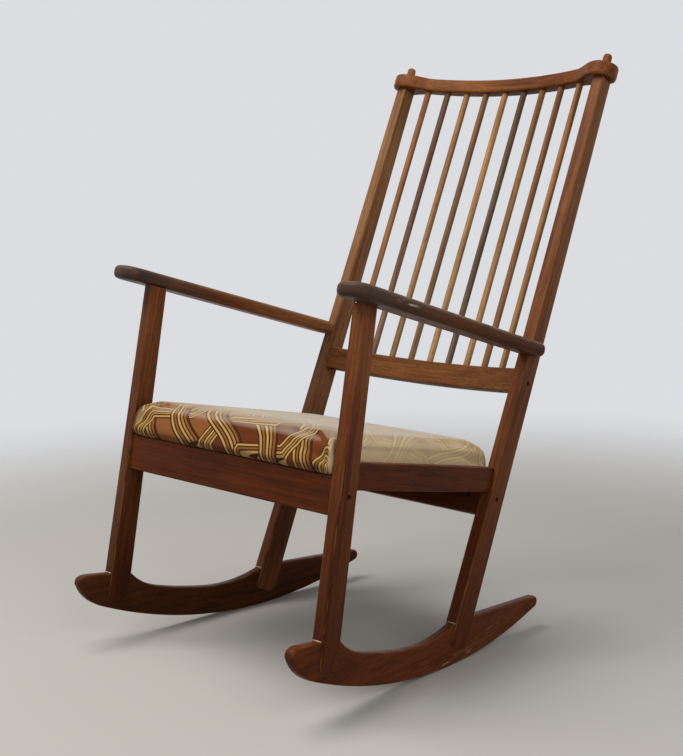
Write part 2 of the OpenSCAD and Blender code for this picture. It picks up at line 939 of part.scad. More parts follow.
module rail_bolt() {
    key = bolt_head_d / 2;
    difference() {
        union() {
            translate([0, 0, bolt_recess])
                cylinder(d = bolt_head_d, h = bolt_head_l);
            bolt_shank();
        }
        translate([0, 0, bolt_recess - over])
            cylinder(d = key, h = bolt_head_l / 2 + over, $fn = 6);
    }
}

module nut_hole(depth) {
    translate([0, -nut_l / 2 - bolt_fit, leg_t + nut_in])
        rotate([-90, 0, 0])
            cylinder(d = nut_d + 2 * bolt_fit, h = nut_l / 2 + depth + over);
}

module barrel_nut() {
    difference() {
        translate([0, -nut_l / 2, leg_t + nut_in])
            rotate([-90, 0, 0])
                cylinder(d = nut_d, h = nut_l);
        bolt_shank(bolt_fit);
    }
}

module rail_bolts() {
    color("#6f6a62")
        for (left = [true, false])
            side_frame(left) {
                front_bolt_frame() rail_bolt();
                rear_bolt_frame() rail_bolt();
                back_bolt_frame() rail_bolt();
            }
}

module barrel_nuts() {
    color("#8c867a")
        for (left = [true, false])
            side_frame(left) {
                front_bolt_frame() rotate([0, 0, 90]) barrel_nut();
                rear_bolt_frame() rotate([0, 0, -90]) barrel_nut();
                back_bolt_frame() rotate([0, 0, 180]) barrel_nut();
            }
}

// Seat pad: a board, a foam block on it and a fabric cover turned in under the board
pad_lift = 0.2;
pad_fit = 0.1;
pad_mid_y = pad_l / 2 - pad_front;
function pad_half(y) = front_track / 2 - (leg_t / 2 + pad_gap) / cos(side_angle)
    - tan(side_angle) * (seat_s * cos(side_angle) + y * cos(seat_slope));

function rounded(points, r, steps) = [
    for (i = [0:len(points) - 1])
        let (
            count = len(points),
            p = points[i],
            before = unit(points[(i + count - 1) % count] - p),
            after = unit(points[(i + 1) % count] - p)
        )
            each bend(p + r * before, p, p + r * after, steps)
];

pad_rear = pad_l - pad_front;
pad_corners = rounded([
    [-pad_half(-pad_front), -pad_front],
    [pad_half(-pad_front), -pad_front],
    [pad_half(pad_rear), pad_rear],
    [-pad_half(pad_rear), pad_rear]
], pad_corner_r, 4);

// The pad's outline, with its straight sides divided
pad_side_steps = 6;
pad_outline = [
    for (i = [0:len(pad_corners) - 1])
        let (
            p = pad_corners[i],
            q = pad_corners[(i + 1) % len(pad_corners)],
            steps = norm(q - p) > pad_corner_r ? pad_side_steps : 1
        )
            for (k = [0:steps - 1]) p + (q - p) * k / steps
];

// The pad's outline drawn in by a distance, towards the middle of the seat
function drawn_in(d) = [
    for (p = pad_outline)
        [
            p[0] * (1 - d / pad_half(pad_mid_y)),
            pad_mid_y + (p[1] - pad_mid_y) * (1 - 2 * d / pad_l)
        ]
];

// The rolled edge, as shares of its height: how far up, and how far drawn in
edge_shares = [[0, 0.06], [0.12, 0.03], [0.38, 0], [0.62, 0.02], [0.8, 0.09], [0.93, 0.22], [1, 0.42]];
// The crown, as shares of the way out from the middle
crown_shares = [0.84, 0.66, 0.48, 0.3, 0.12];
crown_power = 2.4;

// The pad's outer form drawn in by a skin: the edge rises from low, and the crown ends at high
module pad_form(skin, low, high) {
    top = high - (pad_crown_h - pad_edge_h);
    edge_in = edge_shares[len(edge_shares) - 1][1] * pad_edge_h + skin;
    half = pad_half(pad_mid_y);
    rings_solid(concat(
        [
            for (share = edge_shares)
                [
                    for (p = drawn_in(share[1] * pad_edge_h + skin))
                        [p[0], p[1], low + share[0] * (top - low)]
                ]
        ],
        [
            for (share = crown_shares)
                [
                    for (p = drawn_in(edge_in))
                        let (
                            out = p - [0, pad_mid_y],
                            q = [0, pad_mid_y] + share * (share * out + (1 - share) * half * unit(out))
                        )
                            [q[0], q[1], high - (high - top) * pow(share, crown_power)]
                ]
        ]
    ));
}

board_in = edge_shares[0][1] * pad_edge_h + cover_t + 2 * pad_fit;
board_z = pad_lift + cover_t + pad_fit;
foam_z = board_z + board_t + pad_fit;

module seat_board() {
    color("#b98d5a")
        seat_frame()
            difference() {
                translate([0, 0, board_z])
                    linear_extrude(board_t)
                        polygon(drawn_in(board_in));
                staples(pad_fit);
            }
}

module seat_foam() {
    skin = cover_t + pad_fit;
    color("#d8c98e")
        seat_frame()
            difference() {
                pad_form(skin, pad_lift + skin, pad_lift + pad_crown_h - skin);
                translate([-reach, -reach, foam_z - reach])
                    cube([2 * reach, 3 * reach, reach]);
            }
}

module seat_cover() {
    color("#c49a6c")
        seat_frame()
            difference() {
                pad_form(0, pad_lift, pad_lift + pad_crown_h);
                pad_form(cover_t, pad_lift + cover_t, pad_lift + pad_crown_h - cover_t);
                translate([0, 0, pad_lift - over])
                    linear_extrude(cover_t + 2 * over)
                        polygon(drawn_in(hem_w));
                staples(pad_fit);
            }
}

// Staples: each has a crown under the hem and two legs through it into the board
staple_w = 10;
staple_leg = 6;
staple_wire = 0.8;
staple_in = 30;
module staple(gap) {
    for (x = [-staple_w / 2 - gap, staple_w / 2 - staple_wire - gap])
        translate([x, -staple_wire / 2 - gap, 0])
            cube([staple_wire + 2 * gap, staple_wire + 2 * gap, cover_t + staple_leg + gap]);
    if (gap == 0)
        translate([-staple_w / 2, -staple_wire / 2, -staple_wire])
            cube([staple_w, staple_wire, staple_wire]);
}

// Places along the front and rear edges, as shares of their reach, and along the sides
staple_reach = pad_half(pad_rear) - 2 * pad_corner_r;
staple_end_shares = [-1, -0.6, -0.2, 0.2, 0.6, 1];
staple_side_shares = [0.18, 0.4, 0.62, 0.84];
module staples(gap = 0) {
    translate([0, 0, pad_lift]) {
        for (share = staple_end_shares) {
            translate([share * staple_reach, staple_in - pad_front, 0]) staple(gap);
            translate([share * staple_reach, pad_rear - staple_in, 0]) staple(gap);
        }
        for (share = staple_side_shares, side = [-1, 1])
            let (y = share * pad_l - pad_front)
                translate([side * (pad_half(y) - staple_in), y, 0])
                    rotate([0, 0, 90])
                        staple(gap);
    }
}

module cover_staples() {
    color("#a8a8a4")
        seat_frame()
            staples();
}

rocker(true);  // left_rocker
rocker(false);  // right_rocker
front_leg(true);  // left_front_leg
front_leg(false);  // right_front_leg
rear_post(true);  // left_rear_post
rear_post(false);  // right_rear_post
armrest(true);  // left_armrest
armrest(false);  // right_armrest
side_rail(true);  // left_side_rail
side_rail(false);  // right_side_rail
front_seat_rail();
rear_seat_rail();
lower_back_rail();
crest_rail();
spindle(1);  // spindle_1
spindle(2);  // spindle_2
spindle(3);  // spindle_3
spindle(4);  // spindle_4
spindle(5);  // spindle_5
spindle(6);  // spindle_6
spindle(7);  // spindle_7
spindle(8);  // spindle_8
spindle(9);  // spindle_9
seat_board();
seat_foam();
seat_cover();
cover_staples();
rail_bolts();
barrel_nuts();
arm_dowels();
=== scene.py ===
# %% [markdown]
# A rocking chair in reddish-brown oiled wood, with a spindle back and one padded seat.
# Every rail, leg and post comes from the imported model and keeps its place. Blender gives
# them their finish, and makes the one soft piece, the seat cushion, from its own form.

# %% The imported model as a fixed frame
import math

import bmesh
import bpy
from mathutils import Matrix, Vector


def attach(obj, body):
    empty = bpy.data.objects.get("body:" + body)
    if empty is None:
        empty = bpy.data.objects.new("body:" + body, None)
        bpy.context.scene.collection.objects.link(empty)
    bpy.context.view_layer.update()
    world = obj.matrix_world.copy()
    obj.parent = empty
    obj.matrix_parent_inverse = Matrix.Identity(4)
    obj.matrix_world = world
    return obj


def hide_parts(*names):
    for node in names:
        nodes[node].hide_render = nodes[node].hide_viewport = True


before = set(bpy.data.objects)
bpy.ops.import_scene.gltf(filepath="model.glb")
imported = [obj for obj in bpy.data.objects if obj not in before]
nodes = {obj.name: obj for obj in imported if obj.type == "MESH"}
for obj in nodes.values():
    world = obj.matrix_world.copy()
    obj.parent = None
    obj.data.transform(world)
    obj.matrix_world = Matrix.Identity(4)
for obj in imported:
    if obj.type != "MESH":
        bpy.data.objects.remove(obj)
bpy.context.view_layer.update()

MM = 0.001


def shown(name, data):
    """A new object of that data, put into the scene."""
    made = bpy.data.objects.new(name, data)
    bpy.context.scene.collection.objects.link(made)
    return made


print("pieces in the frame:", len(nodes))

# %% [markdown]
# The camera stands in front of the chair and well to its left side, a little above the
# arms. Its lens follows from how many pixels the lengths of the chair cover, and its
# sensor width belongs to the picture's long side.

# %% The camera
FOCAL_PX = 1416
PICTURE_LONG_SIDE_PX = 756
SENSOR_MM = 36
CAMERA_MM = (1750.8, -1777.0, 844.6)
YAW, PITCH, ROLL = 45.3, 8.76, -0.85


def camera_matrix(place, yaw, pitch, roll):
    """Where a camera stands and how it is turned, with its angles in degrees."""
    yaw, pitch, roll = (math.radians(a) for a in (yaw, pitch, roll))
    ahead = Vector((-math.sin(yaw) * math.cos(pitch), math.cos(yaw) * math.cos(pitch), -math.sin(pitch)))
    side = Vector((math.cos(yaw), math.sin(yaw), 0))
    up = side.cross(ahead)
    right = math.cos(roll) * side + math.sin(roll) * up
    top = math.cos(roll) * up - math.sin(roll) * side
    turned = Matrix((right, top, -ahead)).transposed().to_4x4()
    return Matrix.Translation(place) @ turned


camera = shown("camera", bpy.data.cameras.new("camera"))
camera.data.sensor_width = SENSOR_MM
camera.data.lens = FOCAL_PX * SENSOR_MM / PICTURE_LONG_SIDE_PX
camera.matrix_world = camera_matrix(Vector(CAMERA_MM) * MM, YAW, PITCH, ROLL)
bpy.context.scene.camera = camera
print("lens of", round(camera.data.lens, 2), "mm")

# %% [markdown]
# Colours are chosen as they look on a screen, and the renderer wants them linear, so
# one function turns them. Patterns are chosen by their real size, and a texture's scale
# is how often that size fits in a metre. A third small function adds a node with its
# settings, its values and its links, which keeps each material short enough to read.

# %% Helpers for the materials
# A Map Range turns one range into another, and a Mix blends two colours. These sockets
# share their names with others of the same node, so they go by their number.
LOW, HIGH, TO_LOW, TO_HIGH = 1, 2, 3, 4
FACTOR, FIRST, SECOND, MIXED = 0, 6, 7, 2


def linear(colour):
    """A screen colour such as #8a4a2a, as the linear values that a shader wants."""
    parts = [int(colour[i:i + 2], 16) / 255 for i in (1, 3, 5)]
    return tuple(c / 12.92 if c <= 0.04045 else ((c + 0.055) / 1.055) ** 2.4 for c in parts) + (1.0,)


def per_metre(size_mm):
    """How often a size fits in a metre, which is the scale of a pattern of that size."""
    return 1 / (size_mm * MM)


def add(tree, kind, values=None, links=None, **settings):
    """A new node of a kind, with its settings, values and links. A node as a link's source
    stands for its first output."""
    made = tree.nodes.new(kind)
    for name, value in settings.items():
        setattr(made, name, value)
    for socket, value in (values or {}).items():
        made.inputs[socket].default_value = value
    for socket, source in (links or {}).items():
        output = source.outputs[0] if isinstance(source, bpy.types.Node) else source
        tree.links.new(output, made.inputs[socket])
    return made


def new_material(name):
    """An empty material and its tree, ready for nodes."""
    material = bpy.data.materials.new(name)
    material.use_nodes = True
    material.node_tree.nodes.clear()
    return material, material.node_tree


# %% [markdown]
# The room is a pale background, whose colour comes from the world where the camera or a
# reflection sees it. The chair itself is lit more softly, so that the lamps shape it.

# %% The background
WALL = "#dcdde0"
SOFT_LIGHT = 0.2

bpy.context.scene.view_settings.view_transform = "Standard"
world = bpy.data.worlds.new("pale_room")
bpy.context.scene.world = world
world.use_nodes = True
tree = world.node_tree
tree.nodes.clear()
path = add(tree, "ShaderNodeLightPath")
mirrored = add(tree, "ShaderNodeMath", operation="MAXIMUM",
    links={0: path.outputs["Is Glossy Ray"], 1: path.outputs["Is Transmission Ray"]})
seen = add(tree, "ShaderNodeMath", operation="MAXIMUM", links={0: path.outputs["Is Camera Ray"], 1: mirrored})
soft = add(tree, "ShaderNodeBackground", {"Color": linear("#f4f3f0"), "Strength": SOFT_LIGHT})
plain = add(tree, "ShaderNodeBackground", {"Color": linear(WALL), "Strength": 1.0})
both = add(tree, "ShaderNodeMixShader", links={0: seen, 1: soft, 2: plain})
add(tree, "ShaderNodeOutputWorld", links={"Surface": both})
print("background:", WALL, "with soft light of", SOFT_LIGHT)

# %% [markdown]
# The chair stands on a pale painted disc and drops its shadow on it. The disc fades into
# the background, so that no edge shows. What bounces up from it is a darker grey-brown,
# which keeps the undersides of the wood deep in colour.

# %% The floor
FLOOR_RADIUS = 2.6
FLOOR_SIDES = 64
FADE_FROM, FADE_TO = 0.9, 2.4
SPECKS_PER_METRE = 900

material, tree = new_material("painted_floor")
place = add(tree, "ShaderNodeTexCoord").outputs["Object"]
far = add(tree, "ShaderNodeVectorMath", operation="LENGTH", links={0: place})
fade = add(tree, "ShaderNodeMapRange", {LOW: FADE_FROM, HIGH: FADE_TO}, {0: far.outputs["Value"]},
    interpolation_type="SMOOTHSTEP")
specks = add(tree, "ShaderNodeTexNoise", {"Scale": SPECKS_PER_METRE, "Detail": 2.0}, {"Vector": place})
tone = add(tree, "ShaderNodeMix", {FIRST: linear("#cfcecb"), SECOND: linear("#d8d7d4")},
    {FACTOR: specks}, data_type="RGBA")
path = add(tree, "ShaderNodeLightPath")
bounced = add(tree, "ShaderNodeMix", {SECOND: linear("#8f8780")},
    {FACTOR: path.outputs["Is Diffuse Ray"], FIRST: tone.outputs[MIXED]}, data_type="RGBA")
paint = add(tree, "ShaderNodeBsdfPrincipled", {"Roughness": 0.85}, {"Base Color": bounced.outputs[MIXED]})
clear = add(tree, "ShaderNodeBsdfTransparent")
faded = add(tree, "ShaderNodeMixShader", links={0: fade, 1: paint, 2: clear})
add(tree, "ShaderNodeOutputMaterial", links={"Surface": faded})

disc = bmesh.new()
bmesh.ops.create_circle(disc, cap_ends=True, segments=FLOOR_SIDES, radius=FLOOR_RADIUS)
floor_mesh = bpy.data.meshes.new("floor")
disc.to_mesh(floor_mesh)
disc.free()
floor_mesh.materials.append(material)
floor = shown("floor", floor_mesh)
print("the floor is", round(floor.dimensions.x, 2), "m across")

# %% [markdown]
# Most of the light comes from above: upward faces are bright, and the fronts and sides
# of the legs stay deep in colour. One very large lamp hangs high in front of the chair,
# and a weak one at the camera's side opens the shadows. Large lamps give soft edges to
# every shadow, and their power puts a mid colour at its own value.

# %% The lamps
MIDDLE_OF_CHAIR = (0, 0, 0.5)


def lamp(name, place, size, watts, colour):
    """A square lamp of that size, turned to face the middle of the chair."""
    made = shown(name, bpy.data.lights.new(name, "AREA"))
    made.data.size = size
    made.data.energy = watts
    made.data.color = linear(colour)[:3]
    made.location = place
    ahead = Vector(MIDDLE_OF_CHAIR) - Vector(place)
    made.rotation_euler = ahead.to_track_quat("-Z", "Y").to_euler()


lamp("ceiling", place=(-0.6, -1.1, 3.0), size=2.0, watts=64, colour="#fffaf2")
lamp("fill", place=(2.9, -0.9, 1.9), size=2.2, watts=26, colour="#fbf8f4")

# %% [markdown]
# The model's flat faces stand for edges that are really rounded and curves that are
# really smooth. Marking only the sharp corners and smoothing the rest needs the same
# three steps on every piece, so a small Geometry Nodes tree does them: it joins the
# loose triangles, shades them smooth, and keeps a crease where two faces meet steeply.
# Weighted normals then keep the flat faces flat beside their rounded edges.

# %% Smooth curves and rounded edges
CREASE_DEGREES = 50
JOIN_MM = 0.01
FLAT_FACE_WEIGHT = 80

shading = bpy.data.node_groups.new("soft_shading", "GeometryNodeTree")
shading.interface.new_socket("Geometry", in_out="INPUT", socket_type="NodeSocketGeometry")
crease_input = shading.interface.new_socket("Crease Angle", in_out="INPUT", socket_type="NodeSocketFloat")
shading.interface.new_socket("Geometry", in_out="OUTPUT", socket_type="NodeSocketGeometry")
given = add(shading, "NodeGroupInput")
joined = add(shading, "GeometryNodeMergeByDistance", {"Distance": JOIN_MM * MM},
    {"Geometry": given.outputs["Geometry"]})
rounded = add(shading, "GeometryNodeSetShadeSmooth", {"Shade Smooth": True}, {"Geometry": joined})
between = add(shading, "GeometryNodeInputMeshEdgeAngle")
steep = add(shading, "FunctionNodeCompare", operation="GREATER_THAN",
    links={0: between.outputs["Unsigned Angle"], 1: given.outputs["Crease Angle"]})
creased = add(shading, "GeometryNodeSetShadeSmooth", {"Shade Smooth": False},
    {"Geometry": rounded, "Selection": steep}, domain="EDGE")
add(shading, "NodeGroupOutput", links={"Geometry": creased})

for piece in nodes.values():
    modifier = piece.modifiers.new("soft_shading", "NODES")
    modifier.node_group = shading
    modifier[crease_input.identifier] = math.radians(CREASE_DEGREES)
    weighted = piece.modifiers.new("flat_faces", "WEIGHTED_NORMAL")
    weighted.keep_sharp = True
    weighted.weight = FLAT_FACE_WEIGHT
print("pieces shaded smooth:", len(nodes))

# %% [markdown]
# The frame is a straight-grained hardwood, stained red-brown and oiled. To the eye that
# is a warm brown with long darker streaks, short dark pores and a low sheen. The grain
# runs along each board, so one recipe is turned to each board's own direction, and each
# layer's size is the real width of what it draws.

# %% The grain
STREAK_MM = 10
RING_MM = 3.4
FIBRE_MM = 1.3
PORE_MM = 0.9
CLOUD_MM = 85
PORE_TONE = "#241008"


def grain_turn(along):
    """The turn that lays a pattern's x axis along a direction."""
    x = Vector(along).normalized()
    y = Vector((0, 0, 1)).cross(x) if abs(x.z) < 0.9 else Vector((0, 1, 0)).cross(x)
    y.normalize()
    return Matrix((x, y, x.cross(y)))


def grain(tree, place, along, tones, seed):
    """Straight grain along a direction, in a dark, a middle and a light tone, and its relief."""
    turned = add(tree, "ShaderNodeMapping", links={"Vector": place},
        values={"Rotation": grain_turn(along).to_euler(), "Location": (seed, seed * 0.7, seed * 1.3)})

    def streaks(size_mm, stretch, detail, distortion=0.0):
        """A pattern of that width, drawn out along the grain."""
        squeezed = add(tree, "ShaderNodeMapping", {"Scale": (1 / stretch, 1, 1)}, {"Vector": turned})
        return add(tree, "ShaderNodeTexNoise",
            {"Scale": per_metre(size_mm), "Detail": detail, "Distortion": distortion},
            {"Vector": squeezed})

    dark, mid, light = (linear(tone) for tone in tones)
    bands = add(tree, "ShaderNodeMapRange", {LOW: 0.33, HIGH: 0.62}, {0: streaks(STREAK_MM, 24, 3.0, 0.35)})
    tone = add(tree, "ShaderNodeMix", {FIRST: dark, SECOND: mid}, {FACTOR: bands}, data_type="RGBA")
    cloud = add(tree, "ShaderNodeMapRange", {LOW: 0.42, HIGH: 0.72, TO_HIGH: 0.8},
        {0: streaks(CLOUD_MM, 3, 2.0)})
    lit = add(tree, "ShaderNodeMix", {SECOND: light}, {FACTOR: cloud, FIRST: tone.outputs[MIXED]},
        data_type="RGBA")
    ring = add(tree, "ShaderNodeMapRange", {LOW: 0.36, HIGH: 0.6, TO_LOW: 0.78, TO_HIGH: 1.1},
        {0: streaks(RING_MM, 34, 1.0)})
    fibre = streaks(FIBRE_MM, 40, 2.0)
    fine = add(tree, "ShaderNodeMapRange", {LOW: 0.3, HIGH: 0.7, TO_LOW: 0.86, TO_HIGH: 1.1}, {0: fibre})
    both = add(tree, "ShaderNodeMath", operation="MULTIPLY", links={0: ring, 1: fine})
    grained = add(tree, "ShaderNodeVectorMath", operation="SCALE",
        links={0: lit.outputs[MIXED], "Scale": both})
    pore = add(tree, "ShaderNodeMapRange", {LOW: 0.66, HIGH: 0.74, TO_HIGH: 0.5},
        {0: streaks(PORE_MM, 14, 0.0)})
    pored = add(tree, "ShaderNodeMix", {SECOND: linear(PORE_TONE)},
        {FACTOR: pore, FIRST: grained}, data_type="RGBA")
    relief = add(tree, "ShaderNodeMath", operation="SUBTRACT", links={0: fibre, 1: pore})
    return pored.outputs[MIXED], relief


# %% [markdown]
# Hands, feet and floor rub the stain off a board's rounded edges first, in patches. A
# board's edge is where its surface is neither square to the board nor in line with it,
# which the surface's own direction tells, so the wear follows every curve by itself.

# %% Worn edges
RUBBED = "#a8703f"
RUBBED_PATCH_MM = 30


def rubbed_edges(tree, place, face, colour, worn):
    """Paler wood on the rounded edges of a board whose broad side looks along face."""
    surface = add(tree, "ShaderNodeNewGeometry")
    facing = add(tree, "ShaderNodeVectorMath", {1: face}, {0: surface.outputs["Normal"]},
        operation="DOT_PRODUCT")
    square = add(tree, "ShaderNodeMath", operation="MULTIPLY",
        links={0: facing.outputs["Value"], 1: facing.outputs["Value"]})
    level = add(tree, "ShaderNodeMath", {0: 1.0}, {1: square}, operation="SUBTRACT")
    slanted = add(tree, "ShaderNodeMath", operation="MULTIPLY", links={0: square, 1: level})
    edge = add(tree, "ShaderNodeMapRange", {LOW: 0.13, HIGH: 0.24, TO_HIGH: worn}, {0: slanted})
    patchy = add(tree, "ShaderNodeTexNoise", {"Scale": per_metre(RUBBED_PATCH_MM), "Detail": 4.0},
        {"Vector": place})
    some = add(tree, "ShaderNodeMapRange", {LOW: 0.42, HIGH: 0.62}, {0: patchy})
    wear = add(tree, "ShaderNodeMath", operation="MULTIPLY", links={0: edge, 1: some})
    return add(tree, "ShaderNodeMix", {SECOND: linear(RUBBED)},
        {FACTOR: wear, FIRST: colour}, data_type="RGBA").outputs[MIXED]


# %% [markdown]
# A scuff is a patch of fine pale scratches that lie one way. An oval, soft at its rim,
# says where they are, and a noise pattern drawn out along them makes the scratches.

# %% Scuffs
SCRATCH_MM = 1.7
SCRATCH_STRETCH = 18


def scuffed(tree, place, colour, centre_mm, along, long_mm, wide_mm, tone, cover):
    """Fine pale scratches along a direction, inside an oval patch round a point."""
    turn = grain_turn(along)
    patch = add(tree, "ShaderNodeMapping", vector_type="TEXTURE", links={"Vector": place},
        values={"Location": Vector(centre_mm) * MM, "Rotation": turn.transposed().to_euler(),
            "Scale": Vector((long_mm, wide_mm, wide_mm)) * MM})
    away = add(tree, "ShaderNodeVectorMath", operation="LENGTH", links={0: patch})
    inside = add(tree, "ShaderNodeMapRange", {LOW: 1.0, HIGH: 0.3}, {0: away.outputs["Value"]})
    lengthwise = add(tree, "ShaderNodeMapping", {"Rotation": turn.to_euler()}, {"Vector": place})
    thin = add(tree, "ShaderNodeMapping", {"Scale": (1 / SCRATCH_STRETCH, 1, 1)}, {"Vector": lengthwise})
    lines = add(tree, "ShaderNodeTexNoise", {"Scale": per_metre(SCRATCH_MM), "Detail": 1.0}, {"Vector": thin})
    some = add(tree, "ShaderNodeMapRange", {LOW: 0.62 - cover, HIGH: 0.76 - cover}, {0: lines})
    mask = add(tree, "ShaderNodeMath", operation="MULTIPLY", links={0: inside, 1: some})
    return add(tree, "ShaderNodeMix", {SECOND: linear(tone)},
        {FACTOR: mask, FIRST: colour}, data_type="RGBA").outputs[MIXED]


# %% [markdown]
# The finish over the grain is thin oil, not varnish: it dulls unevenly, so its roughness
# is patchy, and it lets the fibres be felt, so the relief of the grain shows as bump.

# %% The oiled finish
DULL_PATCH_MM = 26
RELIEF_MM = 0.25


def oiled(tree, place, colour, relief, shine):
    """A thin oil finish over a colour, with the grain's relief."""
    patchy = add(tree, "ShaderNodeTexNoise", {"Scale": per_metre(DULL_PATCH_MM), "Detail": 3.0},
        {"Vector": place})
    dull = add(tree, "ShaderNodeMapRange", links={0: patchy},
        values={LOW: 0.3, HIGH: 0.75, TO_LOW: shine - 0.06, TO_HIGH: shine + 0.12})
    bump = add(tree, "ShaderNodeBump", {"Strength": 0.15, "Distance": RELIEF_MM * MM}, {"Height": relief})
    shader = add(tree, "ShaderNodeBsdfPrincipled", {"IOR": 1.5, "Specular IOR Level": 0.1},
        {"Base Color": colour, "Roughness": dull, "Normal": bump})
    add(tree, "ShaderNodeOutputMaterial", links={"Surface": shader})


def wood(name, along, face, tones, seed, worn=0.5, shine=0.4, tint_or_shade=None, scuffs=()):
    """Oiled wood for one board: its grain, a tint or painted shade that sets in over a height, worn edges and
    scuffs.
    """
    material, tree = new_material(name)
    place = add(tree, "ShaderNodeTexCoord").outputs["Object"]
    colour, relief = grain(tree, place, along, tones, seed)
    # On legs and posts this darkening is painted shade; on the spindles it is their own redder tone.
    if tint_or_shade:
        no_tint_at, full_tint_at, share = tint_or_shade
        height = add(tree, "ShaderNodeSeparateXYZ", links={"Vector": place})
        amount = add(tree, "ShaderNodeMapRange", {LOW: no_tint_at, HIGH: full_tint_at},
            {0: height.outputs["Z"]})
        tinted_or_shaded = add(tree, "ShaderNodeVectorMath", {1: share}, {0: colour}, operation="MULTIPLY")
        colour = add(tree, "ShaderNodeMix", data_type="RGBA",
            links={FACTOR: amount, FIRST: colour, SECOND: tinted_or_shaded}).outputs[MIXED]
    if worn:
        colour = rubbed_edges(tree, place, face, colour, worn)
    for scuff in scuffs:
        colour = scuffed(tree, place, colour, *scuff)
    oiled(tree, place, colour, relief, shine)
    return material


def dress(name, material):
    """Gives a piece of the frame its finish, in place of its plain colour."""
    slots = nodes[name].data.materials
    slots.clear()
    slots.append(material)


# %% [markdown]
# The grain runs the long way of every piece. Posts, legs, seat and arms each lean or fall
# by their own angle, so their directions come from those angles.

# %% The directions of the pieces
def leaning(degrees):
    """The direction of a piece that leans back from upright by an angle."""
    return (0, math.sin(math.radians(degrees)), math.cos(math.radians(degrees)))


def falling(degrees):
    """The direction of a piece that runs back and falls by an angle."""
    return (0, math.cos(math.radians(degrees)), -math.sin(math.radians(degrees)))


POST_DEGREES, LEG_DEGREES = 23.67, 11.34
SEAT_DEGREES, ARM_DEGREES = 11.1, 16.6
ACROSS, BACK = (1, 0, 0), (0, 1, 0)
POST_UP, LEG_UP, ARM_UP = leaning(POST_DEGREES), leaning(LEG_DEGREES), leaning(ARM_DEGREES)
SEAT_BACK, ARM_BACK = falling(SEAT_DEGREES), Vector(falling(ARM_DEGREES))
print("the seat falls by", SEAT_DEGREES, "degrees and the arms by", ARM_DEGREES)

# %% [markdown]
# Legs and posts are sawn with the grain along them, rails with the grain along theirs,
# and the runners with the grain along the floor, straight through their curve. The rails
# and runners have the deepest tones: partly a deeper stain, partly painted shade of the
# seat above and of the light from above, which reaches them least. The legs and posts
# grow darker towards their feet, which is painted shade of the light from above. The
# runners carry scratches along the lower edge that rolls on the floor.

# %% The frame's finish, piece by piece
# The rails' deep tones are partly their stain and partly painted shade of the seat above them.
RAIL_TONES = ("#431f0a", "#5f2b10", "#723916")
# A tint or painted shade is the heights in metres where it starts and is full, and its red, green and blue.
# The legs and posts grow darker towards their feet: painted shade of the light from above.
POST_FEET_SHADE = (0.62, 0.1, (0.5, 0.34, 0.27))
LEG_FEET_SHADE = (0.6, 0.12, (0.34, 0.26, 0.2))
# A board is its grain's direction, the way it faces, its tones and its tint or painted shade.
BOARDS = {
    "left_rocker": (BACK, ACROSS, ("#4c240e", "#6f3615", "#7e4320"), None),
    # The far runner's tones are darker than the near one's: partly dust, partly painted shade.
    "right_rocker": (BACK, ACROSS, ("#361a0c", "#522912", "#62351b"), None),
    "left_front_leg": (LEG_UP, ACROSS, ("#6b381d", "#915330", "#a66a40"), LEG_FEET_SHADE),
    "right_front_leg": (LEG_UP, ACROSS, ("#5f3119", "#824a28", "#965e38"), LEG_FEET_SHADE),
    "left_rear_post": (POST_UP, ACROSS, ("#68371c", "#8c532e", "#9e693f"), POST_FEET_SHADE),
    "right_rear_post": (POST_UP, ACROSS, ("#714830", "#986845", "#ab7f58"), POST_FEET_SHADE),
    "left_side_rail": (SEAT_BACK, ACROSS, RAIL_TONES, None),
    "right_side_rail": (SEAT_BACK, ACROSS, RAIL_TONES, None),
    # The front rail's tones also hold painted shade cast by the cushion's front edge.
    "front_seat_rail": (ACROSS, BACK, ("#4a2006", "#642c08", "#77390d"), None),
    "rear_seat_rail": (ACROSS, BACK, RAIL_TONES, None),
    "lower_back_rail": (ACROSS, POST_UP, ("#573017", "#784827", "#8c5a31"), None),
    "crest_rail": (ACROSS, POST_UP, ("#5f3417", "#844a21", "#98602f"), None),
}
# A scuff is its centre in mm, its direction, its length and width, its tone and its cover.
DUST = "#a58868"
SCUFFS = {
    "left_rocker": [((262, -190, 8), (-0.07, 1, 0.1), 120, 10, DUST, 0.05),
        ((252, -50, 8), (-0.07, 1, 0.1), 130, 12, DUST, 0.07),
        ((243, 40, 26), (-0.07, 1, 0.22), 110, 20, DUST, 0.02)],
    "right_rocker": [((-256, -180, 16), (0.07, 1, -0.1), 110, 14, DUST, 0.02)],
}
SEED_STEP = 3.7
for number, (name, (along, face, tones, tint_or_shade)) in enumerate(BOARDS.items()):
    seed = SEED_STEP * number + 1
    scuffs = SCUFFS.get(name, [])
    dress(name, wood("oiled_wood_" + name, along, face, tones, seed, tint_or_shade=tint_or_shade, scuffs=scuffs))
print("boards with their own grain:", len(BOARDS))

# %% [markdown]
# The nine spindles were turned from mixed stock and took the stain differently, so
# each has its own tone, from a grey-brown to a golden one, and all grow redder towards
# the crest. Round rods have no edges to rub, only the long streaks of their grain.

# %% The spindles
SPINDLES = ["#9e7450", "#7d6150", "#a98560", "#957557", "#b08c62", "#75604f", "#a8825c", "#926a4c", "#ab8258"]
SHADES = (0.88, 1.1, 1.24)
REDDER_UP = (0.5, 1.0, (0.78, 0.64, 0.56))
SPINDLE_SEED_STEP = 9.1


def shaded(tone, share):
    """A screen colour made darker or lighter by a share."""
    return "#%02x%02x%02x" % tuple(min(255, int(int(tone[i:i + 2], 16) * share)) for i in (1, 3, 5))


